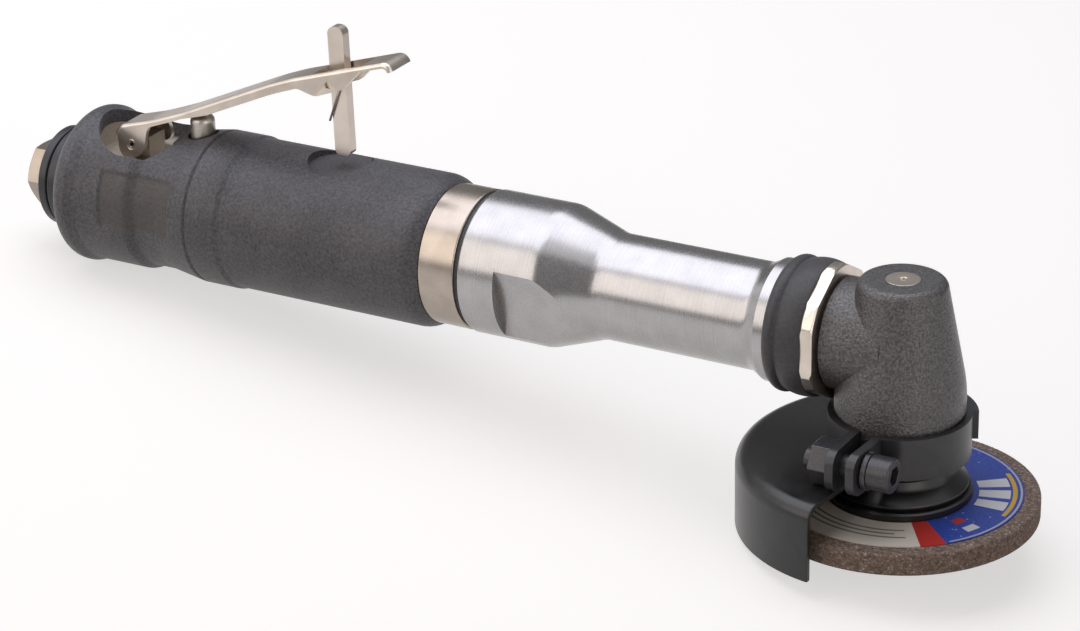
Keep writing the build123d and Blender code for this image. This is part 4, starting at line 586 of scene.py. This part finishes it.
def white_paper(name):
    """Matt white paper from a roll: it takes soft shadows, and glows to the eye, so that it stays white far
    from the lamps."""
    material, tree, place = new_material(name)
    matt = put(tree, "ShaderNodeBsdfDiffuse", {"Color": linear("#c9c5bf")})["BSDF"]
    away = put(tree, "ShaderNodeVectorMath", {0: place}, operation="LENGTH")["Value"]
    fill = put(
        tree,
        "ShaderNodeMapRange",
        {
            "Value": away,
            "From Min": GLOW_NEAR,
            "From Max": GLOW_FAR,
            "To Min": GLOW_LEAST,
            "To Max": GLOW_MOST,
        },
    )["Result"]
    glow = put(tree, "ShaderNodeEmission", {"Strength": seen_strength(tree, fill)})["Emission"]
    lit = put(tree, "ShaderNodeAddShader", {0: matt, 1: glow})["Shader"]
    put(tree, "ShaderNodeOutputMaterial", {"Surface": lit})
    return material


# Finishes by material slot, or by node for a piece that looks different from the rest of its slot. Grains,
# grooves, waves and depths are in millimetres.
finishes = {
    # Dull dark grip with a close grain, brown on its side panels
    "grip_polymer": moulded_rubber(
        "moulded_grip_rubber",
        "#2e2d30",
        "#636267",
        grain=0.8,
        depth=0.24,
        roughness=0.48,
        wave=0.05,
        worn="#49423b",
    ),
    # Black band and seals, nearly smooth, whose skin waves slowly
    "rubber": moulded_rubber(
        "moulded_black_rubber",
        "#2c2b2d",
        "#403f42",
        grain=0.9,
        depth=0.05,
        roughness=0.5,
        wave=0.5,
    ),
    # Smooth black with a soft gloss
    "black_moulding": plain_finish("moulded_black_nylon", "#232428", "#2f3034", roughness=0.36, grain=0.4),
    # Bright warm lever, bar and nut, a darker, tighter mirror on the collar, and an inlet dulled by wrenches
    "nickel_plate": plated_metal("satin_nickel_plate", "#c9beb3", "#d6ccc2", roughness=0.3),
    "collar_ring": plated_metal("turned_nickel_plate", "#a2978d", "#b0a69c", roughness=0.27),
    "inlet_bushing": plated_metal("dull_nickel_plate", "#968b81", "#a69c92", roughness=0.36),
    # Grey extension with long bright streaks of light
    "turned_steel": turned_metal(
        "turned_bare_steel",
        "#9f9d9e",
        "#afadae",
        shoulder_brown="#4c3617",
        roughness=0.26,
        groove=0.35,
        depth=0.002,
    ),
    # Grey-black head, pebbled, with glints from its relief and painted glints on its paler tops
    "head_casting": black_casting(
        "blackened_casting",
        "#4a4949",
        "#747272",
        grain=0.65,
        depth=0.32,
        roughness=0.32,
    ),
    # Deep black guard, greyer clamp band and blackest flange, all satin
    "guard_paint": stoved_paint("stoved_black_paint", "#1e1e1f", "#2d2d2f", roughness=0.28, depth=0.01),
    "clamp_band": stoved_paint("satin_black_paint", "#323234", "#424245", roughness=0.33, depth=0.008),
    "flange_enamel": stoved_paint("satin_black_enamel", "#131213", "#1f1e1f", roughness=0.3, depth=0.008),
    # Dull brown grit, and the print on it
    "abrasive": bonded_grit("bonded_abrasive"),
    "label_print": printed_label("printed_wheel_label"),
    # Black screw, washer and nuts with a low metal gloss
    "black_oxide": plain_finish("black_oxide_steel", "#3b3a3d", "#4d4c4f", roughness=0.34, metallic=0.3),
    # Metals inside: pale matt aluminium, smooth cool bearings, plain grey steel, pale wire and yellow brass
    "housing_aluminium": plain_finish("machined_aluminium", "#c0b8ad", "#d2cabf", roughness=0.45, metallic=1),
    "bearing_steel": plain_finish("ground_bearing_steel", "#a8a8aa", "#bcbcbe", roughness=0.25, metallic=1),
    "machined_steel": plain_finish("machined_steel", "#aaa39b", "#c0b9b0", roughness=0.36, metallic=1),
    "spring_steel": plain_finish("drawn_spring_wire", "#cfc9c2", "#dfd9d2", roughness=0.4, metallic=1),
    "brass": plain_finish("turned_brass", "#a88544", "#c9a45c", roughness=0.3, metallic=1),
    # Brown matt vanes, and pale felt without shine
    "vane_composite": plain_finish("cloth_laminate", "#6b4f31", "#84643f", roughness=0.6),
    "felt": plain_finish("pressed_felt", "#8f8a80", "#a8a296", roughness=0.95),
}


def piece_from(shape, name, slot, node=None):
    """Turn a finished bmesh into a piece with the finish of its node, or else of its slot."""
    mesh = bpy.data.meshes.new(name)
    shape.to_mesh(mesh)
    shape.free()
    mesh.materials.append(finishes.get(node, finishes[slot]))
    piece = bpy.data.objects.new(name, mesh)
    bpy.context.collection.objects.link(piece)
    return piece


def merged(node):
    """A copy of a CAD node's mesh with its triangles joined."""
    shape = bmesh.new()
    shape.from_mesh(nodes[node].data)
    bmesh.ops.remove_doubles(shape, verts=shape.verts, dist=WELD_GAP * MM)
    bend = math.radians(FLAT_BEND)
    bmesh.ops.dissolve_limit(shape, angle_limit=bend, verts=shape.verts, edges=shape.edges)
    return shape


def crease(shape, most):
    """Shade a shape smooth, but for the edges that bend enough for a crease and less than so many degrees."""
    for face in shape.faces:
        face.smooth = True
        face.material_index = 0
    for edge in shape.edges:
        edge.smooth = not math.radians(CREASE_BEND) < edge.calc_face_angle(0) < math.radians(most)


def only(kind, items):
    """The vertices, edges or faces among what a bmesh operator made."""
    return [item for item in items if isinstance(item, kind)]


def cut(shape, faces, place, way):
    """Cut some faces of a shape along a plane. Returns the faces that they become."""
    edges = dict.fromkeys(edge for face in faces for edge in face.edges)
    verts = dict.fromkeys(vert for face in faces for vert in face.verts)
    made = bmesh.ops.bisect_plane(shape, geom=[*verts, *edges, *faces], plane_co=place, plane_no=way)
    return only(bmesh.types.BMFace, made["geom"])


def soften(node, shape, edge):
    """Finish a copy of a CAD node with its edges softened by edge millimetres, to stand for the node."""
    crease(shape, BEVEL_BEND)
    piece = piece_from(shape, node + "_finished", slots[node], node)
    soft = piece.modifiers.new("soft_edges", "BEVEL")
    soft.width = edge * MM
    soft.segments = BEVEL_SEGMENTS
    soft.limit_method = "ANGLE"
    soft.angle_limit = math.radians(BEVEL_BEND)
    even = piece.modifiers.new("even_faces", "WEIGHTED_NORMAL")
    even.keep_sharp = True
    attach(piece, bodies[node])
    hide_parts(node)


def splay_cheeks(shape):
    """Lean the rear cheeks of the throttle lever outwards below the fold of its plate."""
    tilt = math.radians(LEVER_TILT)
    along = Vector((math.cos(tilt), 0, math.sin(tilt)))
    rise = Vector((-math.sin(tilt), 0, math.cos(tilt)))
    fold = rise.dot(LEVER_PIVOT) + CHEEK_FOLD * MM

    def rear(place):
        """Whether a place is on the stretch of the lever that has the cheeks."""
        return along.dot(place - LEVER_PIVOT) < CHEEK_END * MM

    faces = [face for face in shape.faces if rear(face.calc_center_median())]
    cut(shape, faces, LEVER_PIVOT + rise * CHEEK_FOLD * MM, rise)
    for side in (-1, 1):
        lean = side * math.tan(math.radians(CHEEK_SPLAY))
        cheek = [
            vert
            for vert in shape.verts
            if vert.co.y * side > 0 and rear(vert.co) and rise.dot(vert.co) < fold
        ]
        shear = Matrix.Identity(4)
        shear[1][0] = -lean * rise.x
        shear[1][2] = -lean * rise.z
        shear[1][3] = lean * fold
        bmesh.ops.transform(shape, matrix=shear, verts=cheek)


def sink_panel(shape, side, skin):
    """Give one side of the grip its panel: a shallow recess with soft edges, over the flat of the CAD sleeve.
    The skin is a search tree of the sleeve, which tells its radius where it is round, low on the far side."""
    middle = (PANEL_START + PANEL_END) / 2
    half = (PANEL_END - PANEL_START) / 2

    def spot(place):
        """How far a place is from the panel's middle, along the sleeve and round it."""
        return place.x / MM - middle, math.degrees(math.atan2(place.z, side * place.y)) - PANEL_TURN

    def cross(share):
        """A plane across the sleeve, at a share of the panel's field."""
        return ALONG * ((middle + share * (half + PANEL_MARGIN)) * MM), ALONG

    def fan(share):
        """A plane through the axis of the sleeve, at a share of the panel's field."""
        turn = math.radians(PANEL_TURN + share * PANEL_SPREAD)
        return Vector(), Vector((0, -side * math.sin(turn), math.cos(turn)))

    inner = PANEL_SKIN * MM
    faces = [face for face in shape.faces if min(vert.co.yz.length for vert in face.verts) > inner]
    for share in (-1, 1):
        faces = cut(shape, faces, *cross(share))
    faces = [face for face in faces if abs(spot(face.calc_center_median())[0]) < half + PANEL_MARGIN]
    for share in (-1, 1):
        faces = cut(shape, faces, *fan(share))
    faces = [face for face in faces if abs(spot(face.calc_center_median())[1]) < PANEL_SPREAD]
    for step in range(1, PANEL_STEPS):
        share = 2 * step / PANEL_STEPS - 1
        faces = cut(shape, faces, *cross(share))
        faces = cut(shape, faces, *fan(share))

    verts = dict.fromkeys(vert for face in faces for vert in face.verts)
    for vert in verts:
        along, turn = spot(vert.co)
        far = Vector((vert.co.x, -side * PANEL_RAY * MM, -PANEL_RAY * MM))
        reach = skin.ray_cast(far, Vector((0, side, 1)))[0].yz.length / MM
        sunk = PANEL_DEPTH
        for inside in (half - abs(along), PANEL_HALF - abs(reach * math.sin(math.radians(turn)))):
            share = min(max(inside / PANEL_EDGE, 0), 1)
            sunk *= share * share * (3 - 2 * share)
        turn = math.radians(turn + PANEL_TURN)
        vert.co.y = side * (reach - sunk) * math.cos(turn) * MM
        vert.co.z = (reach - sunk) * math.sin(turn) * MM
    bmesh.ops.remove_doubles(shape, verts=list(verts), dist=PANEL_WELD * MM)
    bmesh.ops.dissolve_degenerate(shape, dist=PANEL_SLIVER * MM, edges=shape.edges)


def wound_wire(name, wire_r, start, way, axis, centre, angle, rise, first_leg=0, last_leg=0):
    """A spring of round wire: a straight leg that ends at start along way, a coil about an axis, and a
    straight leg that leaves the coil. Lengths are in millimetres, angle in degrees and places in metres."""
    shape = bmesh.new()

    def draw_out(rim, run):
        """Lengthen the wire from an open rim by a straight run. Returns the new rim."""
        made = bmesh.ops.extrude_edge_only(shape, edges=rim)["geom"]
        ends = only(bmesh.types.BMVert, made)
        bmesh.ops.translate(shape, vec=run, verts=ends)
        return [edge for edge in only(bmesh.types.BMEdge, made) if all(vert in ends for vert in edge.verts)]

    turn = way.to_track_quat("Z", "Y").to_matrix().to_4x4()
    bmesh.ops.create_circle(shape, segments=WIRE_SIDES, radius=wire_r * MM, cap_ends=False)
    place = Matrix.Translation(start - way * first_leg * MM) @ turn
    bmesh.ops.transform(shape, matrix=place, verts=shape.verts)
    rim = list(shape.edges)
    if first_leg:
        rim = draw_out(rim, way * first_leg * MM)
    steps = math.ceil(abs(angle) / WIRE_STEP)
    spun = bmesh.ops.spin(
        shape,
        geom=rim,
        cent=centre,
        axis=axis,
        dvec=axis * (rise * MM / steps),
        angle=math.radians(angle),
        steps=steps,
        use_merge=False,
        use_normal_flip=False,
        use_duplicate=False,
    )["geom_last"]
    if last_leg:
        last_way = Matrix.Rotation(math.radians(angle), 3, axis) @ way
        draw_out(only(bmesh.types.BMEdge, spun), last_way * last_leg * MM)
    bmesh.ops.remove_doubles(shape, verts=shape.verts, dist=WELD_GAP * MM)
    bmesh.ops.holes_fill(shape, edges=[edge for edge in shape.edges if edge.is_boundary])
    bmesh.ops.recalc_face_normals(shape, faces=shape.faces)
    # Only the two ends of the wire are flat
    for face in shape.faces:
        face.smooth = len(face.verts) < WIRE_SIDES
    return piece_from(shape, name, "spring_steel")


def lamp(name, offset, width, height, power, colour):
    """A soft box: a rectangular lamp, set off from the middle of the tool and facing it. Lengths are in
    metres and power is in watts."""
    light = bpy.data.lights.new(name, "AREA")
    light.shape = "RECTANGLE"
    light.size = width
    light.size_y = height
    light.energy = power
    light.color = linear(colour)[:3]
    box = bpy.data.objects.new(name, light)
    bpy.context.collection.objects.link(box)
    place = MIDDLE + Vector(offset)
    box.location = place
    box.rotation_euler = (MIDDLE - place).to_track_quat("-Z", "Y").to_euler()


def sheet(name, place, width, height, material):
    """A flat sheet of the studio, with its place as a matrix and its size in metres."""
    shape = bmesh.new()
    bmesh.ops.create_grid(shape, x_segments=1, y_segments=1, size=1)
    stretch = Matrix.Diagonal((width / 2, height / 2, 1, 1))
    bmesh.ops.transform(shape, matrix=place @ stretch, verts=shape.verts)
    mesh = bpy.data.meshes.new(name)
    shape.to_mesh(mesh)
    shape.free()
    mesh.materials.append(material)
    spread = bpy.data.objects.new(name, mesh)
    bpy.context.collection.objects.link(spread)
    return spread


def flag(name, offset, aim, width, height, material):
    """A grey card that only reflections show, as a photographer sets one to draw the edges of bright metal.
    Its place and its aim are set off from the middle of the tool, in metres."""
    place = MIDDLE + Vector(offset)
    turn = (MIDDLE + Vector(aim) - place).to_track_quat("Z", "Y").to_matrix().to_4x4()
    card = sheet(name, Matrix.Translation(place) @ turn, width, height, material)
    card.visible_camera = False
    card.visible_diffuse = False
    card.visible_shadow = False


# Pieces with softened edges
for node, edge in SOFT_EDGES.items():
    outline = merged(node)
    if node == "throttle_lever":
        splay_cheeks(outline)
    elif node == "lever_pin":
        bmesh.ops.scale(outline, vec=(1, PIN_STRETCH, 1), verts=outline.verts)
    soften(node, outline, edge)

# Grip with its side panels
sleeve = nodes["grip_sleeve"].data
sleeve_tree = BVHTree.FromPolygons([v.co for v in sleeve.vertices], [f.vertices for f in sleeve.polygons])
grip = merged("grip_sleeve")
for side in (-1, 1):
    sink_panel(grip, side, sleeve_tree)
crease(grip, MOST_BEND)
grip_piece = piece_from(grip, "grip_sleeve_finished", slots["grip_sleeve"])
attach(grip_piece, bodies["grip_sleeve"])
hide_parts("grip_sleeve")

# The other pieces, which show as the frame gives them
for node, piece in nodes.items():
    if node not in SOFT_EDGES and node != "grip_sleeve":
        piece.data.materials.clear()
        piece.data.materials.append(finishes[slots[node]])

# Lock spring: one leg under the plate of the lever, two turns round the pin, one leg down the bar
plate_turn = math.radians(LOCK_PLATE_ANGLE)
coil_middle = LOCK_PIVOT + ACROSS * LOCK_COIL_START * MM
lock_spring = wound_wire(
    "lock_spring_wire",
    wire_r=LOCK_WIRE_R,
    start=coil_middle + Vector((math.cos(plate_turn), 0, -math.sin(plate_turn))) * LOCK_COIL_R * MM,
    way=Vector((-math.sin(plate_turn), 0, -math.cos(plate_turn))),
    axis=ACROSS,
    centre=coil_middle,
    angle=LOCK_BAR_ANGLE - LOCK_PLATE_ANGLE + 360 * LOCK_COIL_TURNS,
    rise=LOCK_COIL_END - LOCK_COIL_START,
    first_leg=LOCK_PLATE_LEG,
    last_leg=LOCK_BAR_LEG,
)
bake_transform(lock_spring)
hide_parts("lock_spring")

# Valve spring: a plain compression spring from the floor of its bore to the poppet
coil_foot = VALVE + UP * (VALVE_FLOOR + VALVE_WIRE_R) * MM
valve_spring = wound_wire(
    "valve_spring_wire",
    wire_r=VALVE_WIRE_R,
    start=coil_foot + ALONG * (VALVE_COIL_R * MM),
    way=ACROSS,
    axis=UP,
    centre=coil_foot,
    angle=360 * VALVE_COIL_TURNS,
    rise=VALVE_POPPET_FOOT - VALVE_FLOOR - 2 * VALVE_WIRE_R,
)
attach(valve_spring, "housing")
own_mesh(valve_spring)
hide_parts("valve_spring")

# Soft boxes above, on the left of the camera and on its right
lamp("top_softbox", (-0.2, 0.12, 0.87), width=1.4, height=0.95, power=7.4, colour="#f0f2ff")
lamp("front_softbox", (-0.53, -0.9, 0.48), width=1.25, height=0.8, power=3.7, colour="#fff0e2")
lamp("side_softbox", (0.85, -0.45, 0.3), width=0.5, height=0.5, power=1.0, colour="#fff0e8")

# Grey cards behind the tool, in front of it and beside the camera
card = grey_card("grey_card")
flag("back_flag", (-0.1, 0.3, 0.15), aim=(-0.1, 0, 0.15), width=1.2, height=0.42, material=card)
flag("front_flag", (-0.14, -0.265, -0.02), aim=(0, 0, 0), width=1.2, height=0.09, material=card)
flag("camera_flag", (0.2, -1.0, 0.5), aim=(0, 0, 0), width=0.62, height=1.1, material=card)

# Floor, which lies under the foot of the guard and the rear flange of the grip
guard_foot, grip_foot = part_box("wheel_guard")[0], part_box("grip_sleeve")[0]
slope = math.atan2(grip_foot.z - guard_foot.z, guard_foot.x - REAR_FLANGE * MM)
lie = Matrix.Translation((guard_foot.x, 0, guard_foot.z)) @ Matrix.Rotation(slope, 4, "Y")
sheet("floor", lie, FLOOR_SIZE, FLOOR_SIZE, white_paper("white_paper_floor"))

# World: a white studio that metal shows too, at a lower level for the light it sheds
world = bpy.data.worlds.new("studio")
bpy.context.scene.world = world
world.use_nodes = True
sky = world.node_tree
sky.nodes.clear()
room = put(sky, "ShaderNodeMath", {0: seen_strength(sky, ROOM_SHOWN), 1: ROOM_SHED}, operation="ADD")[0]
studio_white = put(sky, "ShaderNodeBackground", {"Color": linear("#ffffff"), "Strength": room})["Background"]
put(sky, "ShaderNodeOutputWorld", {"Surface": studio_white})

# Camera
camera_data = bpy.data.cameras.new("photo_camera")
camera_data.lens = CAMERA_LENS
camera_data.sensor_width = CAMERA_SENSOR
camera = bpy.data.objects.new("photo_camera", camera_data)
bpy.context.collection.objects.link(camera)
camera.location = CAMERA_PLACE
roll = Quaternion(UP, math.radians(CAMERA_ROLL))
camera.rotation_euler = ((CAMERA_AIM - CAMERA_PLACE).to_track_quat("-Z", "Y") @ roll).to_euler()
bpy.context.scene.camera = camera
bpy.context.scene.view_settings.view_transform = "Standard"
